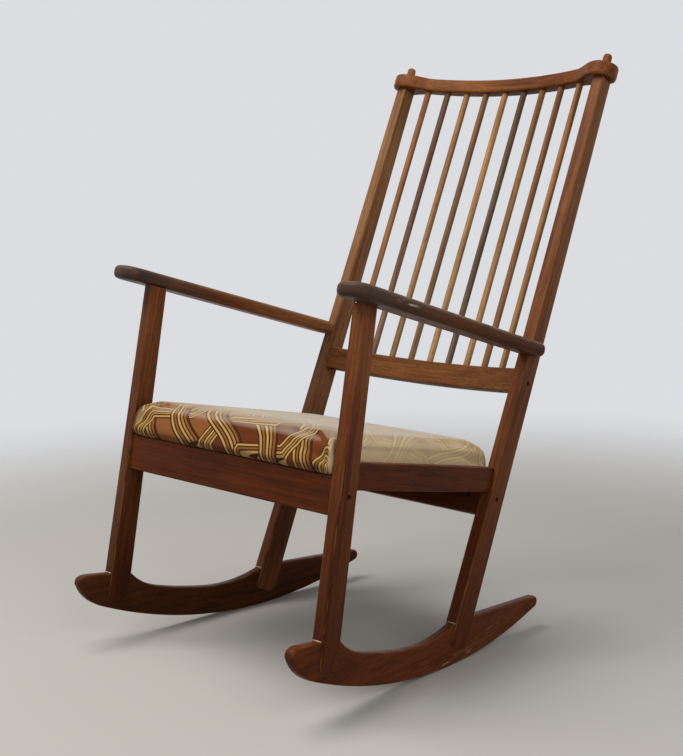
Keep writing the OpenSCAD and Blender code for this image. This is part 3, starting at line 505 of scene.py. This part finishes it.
for number, tone in enumerate(SPINDLES, 1):
    tones = [shaded(tone, share) for share in SHADES]
    dress(f"spindle_{number}", wood(f"turned_wood_{number}", POST_UP, ACROSS, tones,
        SPINDLE_SEED_STEP * number, worn=0, tint_or_shade=REDDER_UP))
print("spindles with their own tone:", len(SPINDLES))

# %% [markdown]
# The arms are the same wood, but years of hands have worn the stain off their tops and
# left their front ends a greyed, darker brown with a dull shine. The greying fades out
# along each arm. The left arm also has one bright scrape and a wide dull one, and the
# right arm one pale patch at its front.

# %% The wood of the arms
ARM_FRONT = Vector((0, -306, 657)) * MM
GREY_TO, NO_GREY_FROM = 0.03, 0.24  # metres along the arm, from about its front end
BLOT_MM = 38
ARM_SHINE = 0.36


def arm_wood(name, seed, tones, grey, bare, scuffs):
    """Oiled wood greyed by hands at its front end and rubbed bare in streaks on its top."""
    material, tree = new_material(name)
    place = add(tree, "ShaderNodeTexCoord").outputs["Object"]
    colour, relief = grain(tree, place, ARM_BACK, tones, seed)
    run = add(tree, "ShaderNodeVectorMath", {1: ARM_BACK}, {0: place}, operation="DOT_PRODUCT")
    start = ARM_FRONT.dot(ARM_BACK)
    front = add(tree, "ShaderNodeMapRange", links={0: run.outputs["Value"]},
        values={LOW: start + GREY_TO, HIGH: start + NO_GREY_FROM, TO_LOW: 0.95, TO_HIGH: 0.0})
    blots = add(tree, "ShaderNodeTexNoise", {"Scale": per_metre(BLOT_MM), "Detail": 4.0}, {"Vector": place})
    uneven = add(tree, "ShaderNodeMapRange", {LOW: 0.3, HIGH: 0.62, TO_LOW: 0.62, TO_HIGH: 1.0}, {0: blots})
    greyed = add(tree, "ShaderNodeMath", operation="MULTIPLY", links={0: front, 1: uneven})
    lines = add(tree, "ShaderNodeMapRange", {LOW: -0.2, HIGH: 0.8, TO_LOW: 0.82, TO_HIGH: 1.12}, {0: relief})
    dry = add(tree, "ShaderNodeVectorMath", {0: linear(grey)[:3]}, {"Scale": lines}, operation="SCALE")
    surface = add(tree, "ShaderNodeNewGeometry")
    up = add(tree, "ShaderNodeVectorMath", {1: ARM_UP}, {0: surface.outputs["Normal"]},
        operation="DOT_PRODUCT")
    top = add(tree, "ShaderNodeMapRange", {LOW: 0.25, HIGH: 0.8}, {0: up.outputs["Value"]})
    rubbed = add(tree, "ShaderNodeMapRange", {LOW: 0.38, HIGH: 0.6, TO_LOW: 0.2, TO_HIGH: 0.8}, {0: relief})
    streaky = add(tree, "ShaderNodeMath", operation="MULTIPLY", links={0: top, 1: rubbed})
    colour = add(tree, "ShaderNodeMix", {SECOND: linear(bare)},
        {FACTOR: streaky, FIRST: colour}, data_type="RGBA").outputs[MIXED]
    colour = add(tree, "ShaderNodeMix", data_type="RGBA",
        links={FACTOR: greyed, FIRST: colour, SECOND: dry}).outputs[MIXED]
    for scuff in scuffs:
        colour = scuffed(tree, place, colour, *scuff)
    oiled(tree, place, colour, relief, ARM_SHINE)
    return material


# %% The arms
LEFT_ARM_SCUFFS = [((306, -200, 628), ARM_BACK, 42, 3.6, "#d8cdbb", 0.2),
    ((262, -120, 608), ARM_BACK, 90, 22, "#9a7a58", 0.04)]
RIGHT_ARM_SCUFFS = [((-230, -286, 661), ARM_BACK, 34, 16, "#a8926e", 0.22)]
dress("left_armrest", arm_wood("worn_wood_left_armrest", seed=31, tones=("#42220f", "#653619", "#784828"),
    grey="#4f4339", bare="#9c8062", scuffs=LEFT_ARM_SCUFFS))
dress("right_armrest", arm_wood("worn_wood_right_armrest", seed=37, tones=("#613619", "#8a5230", "#9c673e"),
    grey="#403e3c", bare="#8d7252", scuffs=RIGHT_ARM_SCUFFS))
print("scuffs on the arms:", len(LEFT_ARM_SCUFFS) + len(RIGHT_ARM_SCUFFS))

# %% [markdown]
# Where a runner's top meets the front of a leg or post, a thin bead of glue squeezed out
# and dried pale. A bead is a round rope of uneven width along a short path, so a
# Geometry Nodes tree lays it: it takes each path in small steps, wraps a circle round it
# and lets a noise pattern thicken and thin it.

# %% The paths of the glue
# A front foot's place, how far its side frame is turned, and half the runner's thickness.
FOOT_X, FOOT_Y = 267.4, -372.8
SIDE_ANGLE = math.radians(3.88)
HALF_RUNNER = 8.4
# Each bead's distance along the runner from the front foot, and its height.
GLUED_AT = ((4.5, 129.2), (338.3, 70.9))
paths = bpy.data.curves.new("glue_paths", "CURVE")
paths.dimensions = "3D"
for side in (1, -1):
    for along, height in GLUED_AT:
        spline = paths.splines.new("POLY")
        spline.points.add(1)
        for point, out in zip(spline.points, (-HALF_RUNNER, HALF_RUNNER)):
            x = FOOT_X + out * math.cos(SIDE_ANGLE) - along * math.sin(SIDE_ANGLE)
            y = FOOT_Y + out * math.sin(SIDE_ANGLE) + along * math.cos(SIDE_ANGLE)
            point.co = Vector((side * x, y, height, 0)) * MM
print("glue paths:", len(paths.splines))

# %% The tree that lays a bead
BEAD_SIZES = {"Step Length": 0.8 * MM, "Bead Radius": 1.1 * MM, "Unevenness": 1.1}
BEAD_SIDES = 8
LUMP_MM = 3
BEAD_SEED = 4.0
bead = bpy.data.node_groups.new("glue_bead", "GeometryNodeTree")
bead.interface.new_socket("Geometry", in_out="INPUT", socket_type="NodeSocketGeometry")
bead_inputs = {name: bead.interface.new_socket(name, in_out="INPUT", socket_type="NodeSocketFloat")
    for name in BEAD_SIZES}
bead_finish = bead.interface.new_socket("Finish", in_out="INPUT", socket_type="NodeSocketMaterial")
bead.interface.new_socket("Geometry", in_out="OUTPUT", socket_type="NodeSocketGeometry")
given = add(bead, "NodeGroupInput")
stepped = add(bead, "GeometryNodeResampleCurve", mode="LENGTH",
    links={"Curve": given.outputs["Geometry"], "Length": given.outputs["Step Length"]})
lumps = add(bead, "ShaderNodeTexNoise", {"Scale": per_metre(LUMP_MM), "Detail": 1.0, "W": BEAD_SEED},
    noise_dimensions="4D")
from_middle = add(bead, "ShaderNodeMath", {1: 0.5}, {0: lumps}, operation="SUBTRACT")
swing = add(bead, "ShaderNodeMath", operation="MULTIPLY",
    links={0: from_middle, 1: given.outputs["Unevenness"]})
width = add(bead, "ShaderNodeMath", {1: 1.0}, {0: swing}, operation="ADD")
circle = add(bead, "GeometryNodeCurvePrimitiveCircle", {"Resolution": BEAD_SIDES},
    {"Radius": given.outputs["Bead Radius"]})
rope = add(bead, "GeometryNodeCurveToMesh", {"Fill Caps": True},
    {"Curve": stepped, "Profile Curve": circle, "Scale": width})
round_rope = add(bead, "GeometryNodeSetShadeSmooth", {"Shade Smooth": True}, {"Geometry": rope})
whole = add(bead, "GeometryNodeRealizeInstances", links={"Geometry": round_rope})
finished = add(bead, "GeometryNodeSetMaterial",
    links={"Geometry": whole, "Material": given.outputs["Finish"]})
add(bead, "NodeGroupOutput", links={"Geometry": finished})
print("nodes in the bead tree:", len(bead.nodes))

# %% [markdown]
# Old wood glue dries hard, cream coloured and a little clear, with dust in its dips.

# %% The dried glue
DUSTY_SPOT_MM = 4
DIP_MM = 0.3
material, tree = new_material("dried_wood_glue")
place = add(tree, "ShaderNodeTexCoord").outputs["Object"]
dust = add(tree, "ShaderNodeTexNoise", {"Scale": per_metre(DUSTY_SPOT_MM), "Detail": 3.0}, {"Vector": place})
dusty = add(tree, "ShaderNodeMapRange", {LOW: 0.4, HIGH: 0.65}, {0: dust})
shade = add(tree, "ShaderNodeMix", {FIRST: linear("#d9ccb0"), SECOND: linear("#a88a62")},
    {FACTOR: dusty}, data_type="RGBA")
dips = add(tree, "ShaderNodeBump", {"Strength": 0.3, "Distance": DIP_MM * MM}, {"Height": dust})
shader = add(tree, "ShaderNodeBsdfPrincipled", {"Roughness": 0.45, "IOR": 1.47},
    {"Base Color": shade.outputs[MIXED], "Normal": dips})
add(tree, "ShaderNodeOutputMaterial", links={"Surface": shader})

path_holder = shown("glue_paths", paths)
laid = path_holder.modifiers.new("glue_bead", "NODES")
laid.node_group = bead
for name, size in BEAD_SIZES.items():
    laid[bead_inputs[name].identifier] = size
laid[bead_finish.identifier] = material
graph = bpy.context.evaluated_depsgraph_get()
glue_mesh = bpy.data.meshes.new_from_object(path_holder.evaluated_get(graph))
bpy.data.objects.remove(path_holder)
glue_lines = shown("glue_lines", glue_mesh)
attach(glue_lines, "frame")
print("faces of dried glue:", len(glue_mesh.polygons))

# %% [markdown]
# Bolts and nuts are plain steel, darkened by oil, and the staples are bright wire. All
# three are turned or drawn, which leaves fine lines that break up their gloss.

# %% The metal parts
TOOL_LINE_MM = 0.7
OLD_OIL = "#4c443c"


def steel(name, colour, dull):
    """Drawn or turned steel, with fine lines in its gloss and old oil in the lines."""
    material, tree = new_material(name)
    place = add(tree, "ShaderNodeTexCoord").outputs["Object"]
    lines = add(tree, "ShaderNodeTexNoise", {"Scale": per_metre(TOOL_LINE_MM), "Detail": 3.0},
        {"Vector": place})
    gloss = add(tree, "ShaderNodeMapRange", {TO_LOW: dull - 0.1, TO_HIGH: dull + 0.1}, {0: lines})
    shade = add(tree, "ShaderNodeMix", {FIRST: linear(colour), SECOND: linear(OLD_OIL)},
        {FACTOR: lines}, data_type="RGBA")
    shader = add(tree, "ShaderNodeBsdfPrincipled", {"Metallic": 1.0},
        {"Base Color": shade.outputs[MIXED], "Roughness": gloss})
    add(tree, "ShaderNodeOutputMaterial", links={"Surface": shader})
    return material


dress("rail_bolts", steel("oiled_steel", "#6f6a62", 0.4))
dress("barrel_nuts", steel("turned_steel", "#8c867a", 0.35))
dress("cover_staples", steel("galvanised_wire", "#b4b4ae", 0.3))
print("metal parts dressed")

# %% [markdown]
# The seat's board is birch plywood and the dowels are beech: both pale, close-grained
# and left bare, because nobody sees them once the chair is put together.

# %% Plywood and dowels
BARE_SHINE = 0.6
PLYWOOD_TONES = ("#b08a5c", "#c7a574", "#d4b788")
BEECH_TONES = ("#a67b50", "#bb9064", "#c9a27a")
dress("seat_board", wood("birch_plywood", ACROSS, POST_UP, PLYWOOD_TONES, seed=51, worn=0, shine=BARE_SHINE))
dress("arm_dowels", wood("beech_dowel", LEG_UP, ACROSS, BEECH_TONES, seed=57, worn=0, shine=BARE_SHINE))
print("board and dowels dressed")

# %% [markdown]
# The seat is a foam block on a board, wrapped in a printed cotton cloth. The cloth is
# pulled round the foam and stapled below, so its top is crowned, its edges roll over in
# one soft bend and its underside is flat. Seen from above it is a block that narrows
# towards the back, with round corners and with ends that bulge a little.

# %% The cushion's outline
PAD_LENGTH = 410
PAD_FRONT = 5
PAD_FRONT_HALF = 249.7
PAD_REAR_HALF = 222.4
PAD_HEIGHT = 67.2
PAD_LOW = 0.2
REAR_SHARE = 0.6


def pad_half(y):
    """Half the cushion's width at a distance along the seat, in millimetres."""
    t = (y + PAD_FRONT) / PAD_LENGTH
    return PAD_FRONT_HALF + (PAD_REAR_HALF - PAD_FRONT_HALF) * t


def pad_outline(inset, corner, bulge=0, steps=6, side=12):
    """The cushion's outline, drawn in, with round corners, and let out over the front and rear edges."""
    y0, y1 = -PAD_FRONT - bulge + inset, PAD_LENGTH - PAD_FRONT + bulge * REAR_SHARE - inset
    corners = [(-pad_half(y0) + inset, y0), (pad_half(y0) - inset, y0),
        (pad_half(y1) - inset, y1), (-pad_half(y1) + inset, y1)]
    points = []
    for i, p in enumerate(corners):
        p = Vector(p)
        before = (Vector(corners[i - 1]) - p).normalized() * corner
        after = (Vector(corners[(i + 1) % 4]) - p).normalized() * corner
        for k in range(steps + 1):
            t = k / steps
            points.append((1 - t) ** 2 * (p + before) + 2 * t * (1 - t) * p + t * t * (p + after))
        run = Vector(corners[(i + 1) % 4]) - p - 2 * after
        points += [p + after + run * k / side for k in range(1, side)]
    return points


print("widths of the cushion in mm, front and rear:", 2 * PAD_FRONT_HALF, 2 * PAD_REAR_HALF)

# %% [markdown]
# The cushion starts as a slightly thin form with the right outline, made of rings: they
# follow the profile of its side from the bottom up, and then close in over the crown. A
# short cloth simulation under air pressure will fill it out.

# %% The cushion's start form
PAD_CORNER = 8
END_BULGE = 7
BULGE_FROM = 13
EDGE_TOP = 55
CROWN = 6
CROWN_POWER = 2.2
CROWN_RINGS = (0.86, 0.68, 0.48, 0.26)
# Each ring of the side is a height and how far the outline is drawn in there, in mm.
SIDE_PROFILE = [(PAD_LOW, 3.2), (1.6, 1.6), (6, 0.8), (13, 0.6), (28, 0.6), (40, 1.2), (47, 2.8), (51, 5.4),
    (53.6, 9), (54.7, 13), (EDGE_TOP, 20)]


def ring_solid(rings):
    """A closed mesh through rings of points, with a face on each end."""
    made = bmesh.new()
    loops = [[made.verts.new(p) for p in ring] for ring in rings]
    count = len(loops[0])
    for low, high in zip(loops, loops[1:]):
        for i in range(count):
            made.faces.new((low[i], low[(i + 1) % count], high[(i + 1) % count], high[i]))
    made.faces.new(loops[0][::-1])
    made.faces.new(loops[-1])
    bmesh.ops.recalc_face_normals(made, faces=made.faces)
    return made


rings = []
for height, drawn in SIDE_PROFILE:
    outline = pad_outline(drawn, PAD_CORNER, END_BULGE * min(1, height / BULGE_FROM))
    rings.append([Vector((p.x, p.y, height)) for p in outline])
middle = Vector((0, PAD_LENGTH / 2 - PAD_FRONT, 0))
crown_base = rings[-1]
for share in CROWN_RINGS:
    rise = EDGE_TOP + CROWN * (1 - share ** CROWN_POWER)
    rings.append([Vector((middle.x + (p.x - middle.x) * share, middle.y + (p.y - middle.y) * share, rise))
        for p in crown_base])
start = ring_solid(rings)
bmesh.ops.triangulate(start, faces=[f for f in start.faces if len(f.verts) > 4])
for vertex in start.verts:
    vertex.co = vertex.co * MM
start_mesh = bpy.data.meshes.new("cushion_start")
start.to_mesh(start_mesh)
start.free()
cushion = shown("seat_cushion", start_mesh)
print("start form of the cushion:", len(start_mesh.vertices), "points")

# %% [markdown]
# The form is remeshed into even small squares, because cloth folds well only on those.
# Its underside and the band round the board are held still, as the staples hold them,
# and air pressure swells the rest in a few steps.

# %% Filling the cushion
VOXEL_MM = 4.5
HELD_BAND_MM = 13
LAST_STEP = 20
CLOTH_SETTINGS = {"quality": 6, "mass": 0.3, "tension_stiffness": 18, "compression_stiffness": 18,
    "bending_stiffness": 2, "use_pressure": True, "uniform_pressure_force": 4, "vertex_group_mass": "held"}


def settled(obj, modifier_types):
    """The mesh that an object's modifiers make, as a plain mesh on the object."""
    graph = bpy.context.evaluated_depsgraph_get()
    made = bpy.data.meshes.new_from_object(obj.evaluated_get(graph))
    for modifier in [m for m in obj.modifiers if m.type in modifier_types]:
        obj.modifiers.remove(modifier)
    obj.data = made


remesh = cushion.modifiers.new("squares", "REMESH")
remesh.mode = "VOXEL"
remesh.voxel_size = VOXEL_MM * MM
settled(cushion, {"REMESH"})
unfilled = [v.co.copy() for v in cushion.data.vertices]
held = cushion.vertex_groups.new(name="held")
held.add([v.index for v in cushion.data.vertices if v.co.z < HELD_BAND_MM * MM], 1.0, "REPLACE")

cloth = cushion.modifiers.new("filling", "CLOTH")
for name, value in CLOTH_SETTINGS.items():
    setattr(cloth.settings, name, value)
cloth.settings.effector_weights.gravity = 0
cloth.point_cache.frame_start, cloth.point_cache.frame_end = 1, LAST_STEP
for step in range(1, LAST_STEP + 1):
    bpy.context.scene.frame_set(step)
settled(cushion, {"CLOTH"})
bpy.context.scene.frame_set(1)
print("cushion points:", len(cushion.data.vertices))

# %% [markdown]
# A cap on how far a point may go, and a box that it may not leave, keep the filled
# cushion between the legs of its chair.

# %% Keeping the cushion in its place
SWELL_CAP_MM = 9
BULGE_MM = 4
SIDE_ROOM_MM = 0.3

FRONT_LIMIT = -(PAD_FRONT + END_BULGE + BULGE_MM) * MM
REAR_LIMIT = (PAD_LENGTH - PAD_FRONT + END_BULGE) * MM
TOP_LIMIT = (PAD_HEIGHT + BULGE_MM) * MM
furthest = 0
for vertex, old in zip(cushion.data.vertices, unfilled):
    step = vertex.co - old
    if step.length > SWELL_CAP_MM * MM:
        step *= SWELL_CAP_MM * MM / step.length
    new = old + step
    side_limit = (pad_half(new.y / MM) - SIDE_ROOM_MM) * MM
    new.x = max(-side_limit, min(side_limit, new.x))
    new.y = max(FRONT_LIMIT, min(REAR_LIMIT, new.y))
    new.z = max(PAD_LOW * MM, min(TOP_LIMIT, new.z))
    furthest = max(furthest, (new - old).length)
    vertex.co = new
print("furthest moved:", round(furthest / MM, 1), "mm")

# %% [markdown]
# The board sits in the cushion's underside, with a hem of cloth round it. Two cuts give
# them: room in the board's own shape and, below it, the opening that the hem leaves.

# %% The hollow for the board
BOARD_ROOM = {"inset": 4.2, "corner": 20, "low": 1.3, "high": 11.8}
HEM_OPENING = {"inset": 34, "corner": 10, "low": -3, "high": 4}


def prism(name, inset, corner, low, high):
    """A closed block on the cushion's outline, drawn in, between two heights in millimetres."""
    outline = pad_outline(inset, corner)
    made = ring_solid([[Vector((p.x, p.y, z)) * MM for p in outline] for z in (low, high)])
    mesh = bpy.data.meshes.new(name)
    made.to_mesh(mesh)
    made.free()
    return shown(name, mesh)


smooth = cushion.modifiers.new("finer", "SUBSURF")
smooth.levels = smooth.render_levels = 1
settled(cushion, {"SUBSURF"})
cutters = [prism("board_room", **BOARD_ROOM), prism("hem_opening", **HEM_OPENING)]
for cutter in cutters:
    cut = cushion.modifiers.new("cut", "BOOLEAN")
    cut.operation = "DIFFERENCE"
    cut.solver = "EXACT"
    cut.object = cutter
settled(cushion, {"BOOLEAN"})
for cutter in cutters:
    bpy.data.objects.remove(cutter)
print("cushion faces with its hollow:", len(cushion.data.polygons))

# %% [markdown]
# A print lies on cloth by the cloth's own measure, so the cushion gets a map that runs
# over its top and then down over each edge, as if the cloth were rolled out flat. At a
# corner the side's share of the way down passes softly into the end's.

# %% The cloth's own map
TOP_MM = 58
EDGE_MM = 45
CORNER_BLEND_MM = 40
cloth_map = cushion.data.uv_layers.new(name="cloth_map")
flat_places = []
for vertex in cushion.data.vertices:
    x, y, z = (c / MM for c in vertex.co)
    drop = max(0.0, TOP_MM - z)
    side_in = pad_half(y) - abs(x)
    end_in = PAD_LENGTH / 2 - abs(y - middle.y)
    to_side = drop * max(0.0, min(1.0, (end_in - side_in) / CORNER_BLEND_MM + 0.5))
    to_end = drop - to_side
    u = x + math.copysign(to_side, x) * (1 if side_in < EDGE_MM else 0)
    v = y + math.copysign(to_end, y - middle.y) * (1 if end_in < EDGE_MM else 0)
    flat_places.append((u * MM, v * MM))
for loop in cushion.data.loops:
    cloth_map.data[loop.index].uv = flat_places[loop.vertex_index]
print("cloth map laid over", len(flat_places), "points")

# %% [markdown]
# So far the cushion lies flat at the origin. Now its points are moved to the seat, which
# falls towards the back, so that the object itself stays unturned as every piece does.

# %% The cushion on the seat
SEAT_ORIGIN = Vector((0, -313.3, 372)) * MM
seat_turn = Matrix.Translation(SEAT_ORIGIN) @ Matrix.Rotation(-math.radians(SEAT_DEGREES), 4, "X")
cushion.data.transform(seat_turn)
cushion.data.polygons.foreach_set("use_smooth", [True] * len(cushion.data.polygons))
print("the cushion starts at", [round(v / MM, 1) for v in SEAT_ORIGIN], "mm")

# %% [markdown]
# The cloth is printed cotton: plain weave, dull, with a soft pale bloom where light
# grazes it. Its print is bands of stripes that pass over and under each other on the
# slant, in rust, tan, beige and cream with dark brown outlines. Three helpers draw such
# a print: the distance across bands that wave, that distance as a share of its repeat,
# and plain colours side by side over one repeat.

# %% The pattern's own measure
material, tree = new_material("printed_cotton")
uv = add(tree, "ShaderNodeUVMap", uv_map="cloth_map")
place = add(tree, "ShaderNodeTexCoord").outputs["Object"]


def across(angle, wave_mm, wave_length_mm, angular=False):
    """Distance across a family of bands at an angle, which wave or turn in zigzags a little."""
    a = math.radians(angle)
    line = add(tree, "ShaderNodeVectorMath", {1: (math.cos(a), math.sin(a), 0)}, {0: uv},
        operation="DOT_PRODUCT")
    other = add(tree, "ShaderNodeVectorMath", {1: (-math.sin(a), math.cos(a), 0)}, {0: uv},
        operation="DOT_PRODUCT")
    if angular:
        wave = add(tree, "ShaderNodeMath", {1: wave_length_mm / 2 * MM}, {0: other.outputs["Value"]},
            operation="PINGPONG")
        swing = 4 * wave_mm / wave_length_mm
    else:
        turns = add(tree, "ShaderNodeMath", {1: math.tau / (wave_length_mm * MM)},
            {0: other.outputs["Value"]}, operation="MULTIPLY")
        wave = add(tree, "ShaderNodeMath", links={0: turns}, operation="SINE")
        swing = wave_mm * MM
    return add(tree, "ShaderNodeMath", {1: swing}, {0: wave, 2: line.outputs["Value"]},
        operation="MULTIPLY_ADD")


def share_of(distance, period_mm):
    """How far through its repeat a distance is, and the number of that repeat."""
    count = add(tree, "ShaderNodeMath", {1: per_metre(period_mm)}, {0: distance}, operation="MULTIPLY")
    whole = add(tree, "ShaderNodeMath", links={0: count}, operation="FLOOR")
    part = add(tree, "ShaderNodeMath", links={0: count, 1: whole}, operation="SUBTRACT")
    return part, whole


def steps(share, colours):
    """Plain colours side by side, each from its own share of the repeat on."""
    made = add(tree, "ShaderNodeValToRGB", links={0: share})
    ramp = made.color_ramp
    ramp.interpolation = "CONSTANT"
    ramp.elements[0].color = linear(colours[0][1])
    ramp.elements[1].position, ramp.elements[1].color = colours[1][0], linear(colours[1][1])
    for at, colour in colours[2:]:
        ramp.elements.new(at).color = linear(colour)
    return made


# %% [markdown]
# Each band is a bundle of cream and tan stripes on dark brown, beside a plain patch. The
# patches change from rust to tan to brown from one crossing to the next. One family of
# bands waves and the other turns in zigzags.

# %% The two families of bands
DARK, CREAM, TAN, BEIGE = "#4c260f", "#dab46a", "#a1682c", "#bf9150"
PATCHES = [(0, "#82431c"), (0.3, "#9c6232"), (0.46, "#743814"), (0.68, "#bb8a52"), (0.86, "#8e5628")]
BAND_MM = 80
CROSS_MM = 96
LINE_MM = 4.4
GAP_MM = 3.3
WARP_FROM = 0.44


def bundle(start, period_mm, colours):
    """Stripes of the given colours side by side, with dark gaps, and where the last gap ends."""
    made, at = [], start
    for colour in colours:
        made += [(at, DARK), (at + GAP_MM / period_mm, colour)]
        at += (GAP_MM + LINE_MM) / period_mm
    return made + [(at, DARK)], at + GAP_MM / period_mm


warp_share, warp_number = share_of(across(34, wave_mm=14, wave_length_mm=230), BAND_MM)
weft_share, weft_number = share_of(across(127, wave_mm=24, wave_length_mm=170, angular=True), CROSS_MM)
cell = add(tree, "ShaderNodeCombineXYZ", links={0: warp_number, 1: weft_number})
chance = add(tree, "ShaderNodeTexWhiteNoise", links={"Vector": cell}, noise_dimensions="2D")
patch = steps(chance.outputs["Value"], PATCHES)
warp_stripes, warp_to = bundle(WARP_FROM, BAND_MM, (CREAM, TAN, CREAM, BEIGE, TAN))
weft_stripes, weft_to = bundle(0.0, CROSS_MM, (CREAM, BEIGE, CREAM, TAN, CREAM))
ground = steps(warp_share, [(0, DARK)] + warp_stripes)
cross = steps(weft_share, weft_stripes)
print("shares of a repeat under stripes:", round(warp_to - WARP_FROM, 2), "and", round(weft_to, 2))

# %% [markdown]
# The two families take turns to pass over and under each other. Counting the crossings
# tells whose turn it is: one goes over where the count is even, and under where it is odd.

# %% Over and under
in_band = add(tree, "ShaderNodeMath", {1: WARP_FROM}, {0: warp_share}, operation="GREATER_THAN")
banded = add(tree, "ShaderNodeMix", links={FACTOR: in_band, FIRST: patch, SECOND: ground}, data_type="RGBA")
in_cross = add(tree, "ShaderNodeMath", {1: weft_to}, {0: weft_share}, operation="LESS_THAN")
crossing = add(tree, "ShaderNodeMath", links={0: warp_number, 1: weft_number}, operation="ADD")
odd = add(tree, "ShaderNodeMath", {1: 2.0}, {0: crossing}, operation="FLOORED_MODULO")
under = add(tree, "ShaderNodeMath", links={0: in_band, 1: odd}, operation="MULTIPLY")
over = add(tree, "ShaderNodeMath", operation="SUBTRACT", use_clamp=True, links={0: in_cross, 1: under})
print_colour = add(tree, "ShaderNodeMix", data_type="RGBA",
    links={FACTOR: over, FIRST: banded.outputs[MIXED], SECOND: cross})
print("nodes in the print:", len(tree.nodes))

# %% [markdown]
# The top is washed to a pale beige grey through which the print only just shows, except
# near the front edge: partly cloth faded by the sun, partly painted sheen of light grazing
# the top. The left side is paler and yellower than the front: partly yellowed cloth, partly
# painted light on that side. So one mix goes by how far a face looks to the left, and the
# other by how level it is and how far back it lies.

# %% The faded print, with painted sheen and painted light
YELLOWED_AND_LIT, BLEACHED_AND_SHEEN = "#fae4b8", "#e5dbcc"
YELLOW_PATCH_MM = 110
KEPT_TO, FADED_AND_SHEENED_FROM = -0.315, -0.215  # metres along y, just behind the front edge
patches = add(tree, "ShaderNodeTexNoise", {"Scale": per_metre(YELLOW_PATCH_MM), "Detail": 2.0},
    {"Vector": place})
surface = add(tree, "ShaderNodeNewGeometry")
facing = add(tree, "ShaderNodeSeparateXYZ", links={0: surface.outputs["Normal"]})
# The left side's pale yellow: partly yellowed cloth, partly painted light on that side.
to_left = add(tree, "ShaderNodeMapRange", {LOW: 0.1, HIGH: 0.7, TO_LOW: 0.0, TO_HIGH: 0.8},
    {0: facing.outputs["X"]})
uneven = add(tree, "ShaderNodeMapRange", {LOW: 0.35, HIGH: 0.65, TO_LOW: 0.75, TO_HIGH: 1.0}, {0: patches})
yellowed_and_lit = add(tree, "ShaderNodeMath", operation="MULTIPLY", links={0: to_left, 1: uneven})
aged_and_lit = add(tree, "ShaderNodeMix", {SECOND: linear(YELLOWED_AND_LIT)},
    {FACTOR: yellowed_and_lit, FIRST: print_colour.outputs[MIXED]}, data_type="RGBA")
# The top's pale wash: partly sun fading, partly painted sheen of light grazing the top.
level = add(tree, "ShaderNodeMapRange", {LOW: 0.74, HIGH: 0.99}, {0: facing.outputs["Z"]})
where = add(tree, "ShaderNodeSeparateXYZ", links={"Vector": place})
faded_and_sheened_area = add(tree, "ShaderNodeMapRange", links={0: where.outputs["Y"]},
    values={LOW: KEPT_TO, HIGH: FADED_AND_SHEENED_FROM, TO_LOW: 0.2, TO_HIGH: 0.85})
bleach_and_sheen = add(tree, "ShaderNodeMath", operation="MULTIPLY", links={0: level, 1: faded_and_sheened_area})
faded_and_sheened_print = add(tree, "ShaderNodeMix", {SECOND: linear(BLEACHED_AND_SHEEN)},
    {FACTOR: bleach_and_sheen, FIRST: aged_and_lit.outputs[MIXED]}, data_type="RGBA")
# The yellow is partly painted light, and the bleached tone partly painted sheen.
print("yellowed to", YELLOWED_AND_LIT, "and bleached to", BLEACHED_AND_SHEEN)

# %% [markdown]
# The weave is plain cotton, drawn a little coarser than it is so that it can be seen. Its
# threads stand up between darker gaps, and the cloth lies in low loose ripples.

# %% The woven cotton
THREAD_MM = 1.1
THREAD_RELIEF_MM = 0.3
RIPPLE_MM = 55
RIPPLE_RELIEF_MM = 3
WAVES_PER_SCALE = 3.0  # a Wave texture of scale 1 has about three waves in a metre
thread_scale = per_metre(THREAD_MM) / WAVES_PER_SCALE
threads = [add(tree, "ShaderNodeTexWave", {"Scale": thread_scale, "Distortion": 0.6, "Detail": 1.0},
    {"Vector": uv}, bands_direction=d).outputs["Fac"] for d in ("X", "Y")]
weave = add(tree, "ShaderNodeMath", links={0: threads[0], 1: threads[1]}, operation="MULTIPLY")
dim = add(tree, "ShaderNodeMapRange", {TO_LOW: 0.9, TO_HIGH: 1.08}, {0: weave})
colour = add(tree, "ShaderNodeVectorMath", operation="SCALE",
    links={0: faded_and_sheened_print.outputs[MIXED], "Scale": dim})
ripples = add(tree, "ShaderNodeTexNoise", {"Scale": per_metre(RIPPLE_MM), "Detail": 2.0}, {"Vector": place})
loose = add(tree, "ShaderNodeBump", {"Strength": 0.35, "Distance": RIPPLE_RELIEF_MM * MM},
    {"Height": ripples})
bump = add(tree, "ShaderNodeBump", {"Strength": 0.25, "Distance": THREAD_RELIEF_MM * MM},
    {"Height": weave, "Normal": loose})
shader = add(tree, "ShaderNodeBsdfPrincipled",
    {"Roughness": 0.82, "Sheen Weight": 0.12, "Sheen Roughness": 0.5, "Specular IOR Level": 0.05},
    {"Base Color": colour, "Normal": bump})
add(tree, "ShaderNodeOutputMaterial", links={"Surface": shader})
cushion.data.materials.clear()
cushion.data.materials.append(material)
print("nodes in the printed cotton:", len(tree.nodes))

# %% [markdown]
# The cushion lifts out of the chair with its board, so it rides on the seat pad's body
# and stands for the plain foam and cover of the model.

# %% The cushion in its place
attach(cushion, "seat_pad")
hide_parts("seat_cover", "seat_foam")
for node_name in ("seat_cover", "seat_foam"):
    dress(node_name, material)
print("cushion box:", [[round(c, 4) for c in (cushion.matrix_world @ Vector(b))] for b in
    (cushion.bound_box[0], cushion.bound_box[6])])
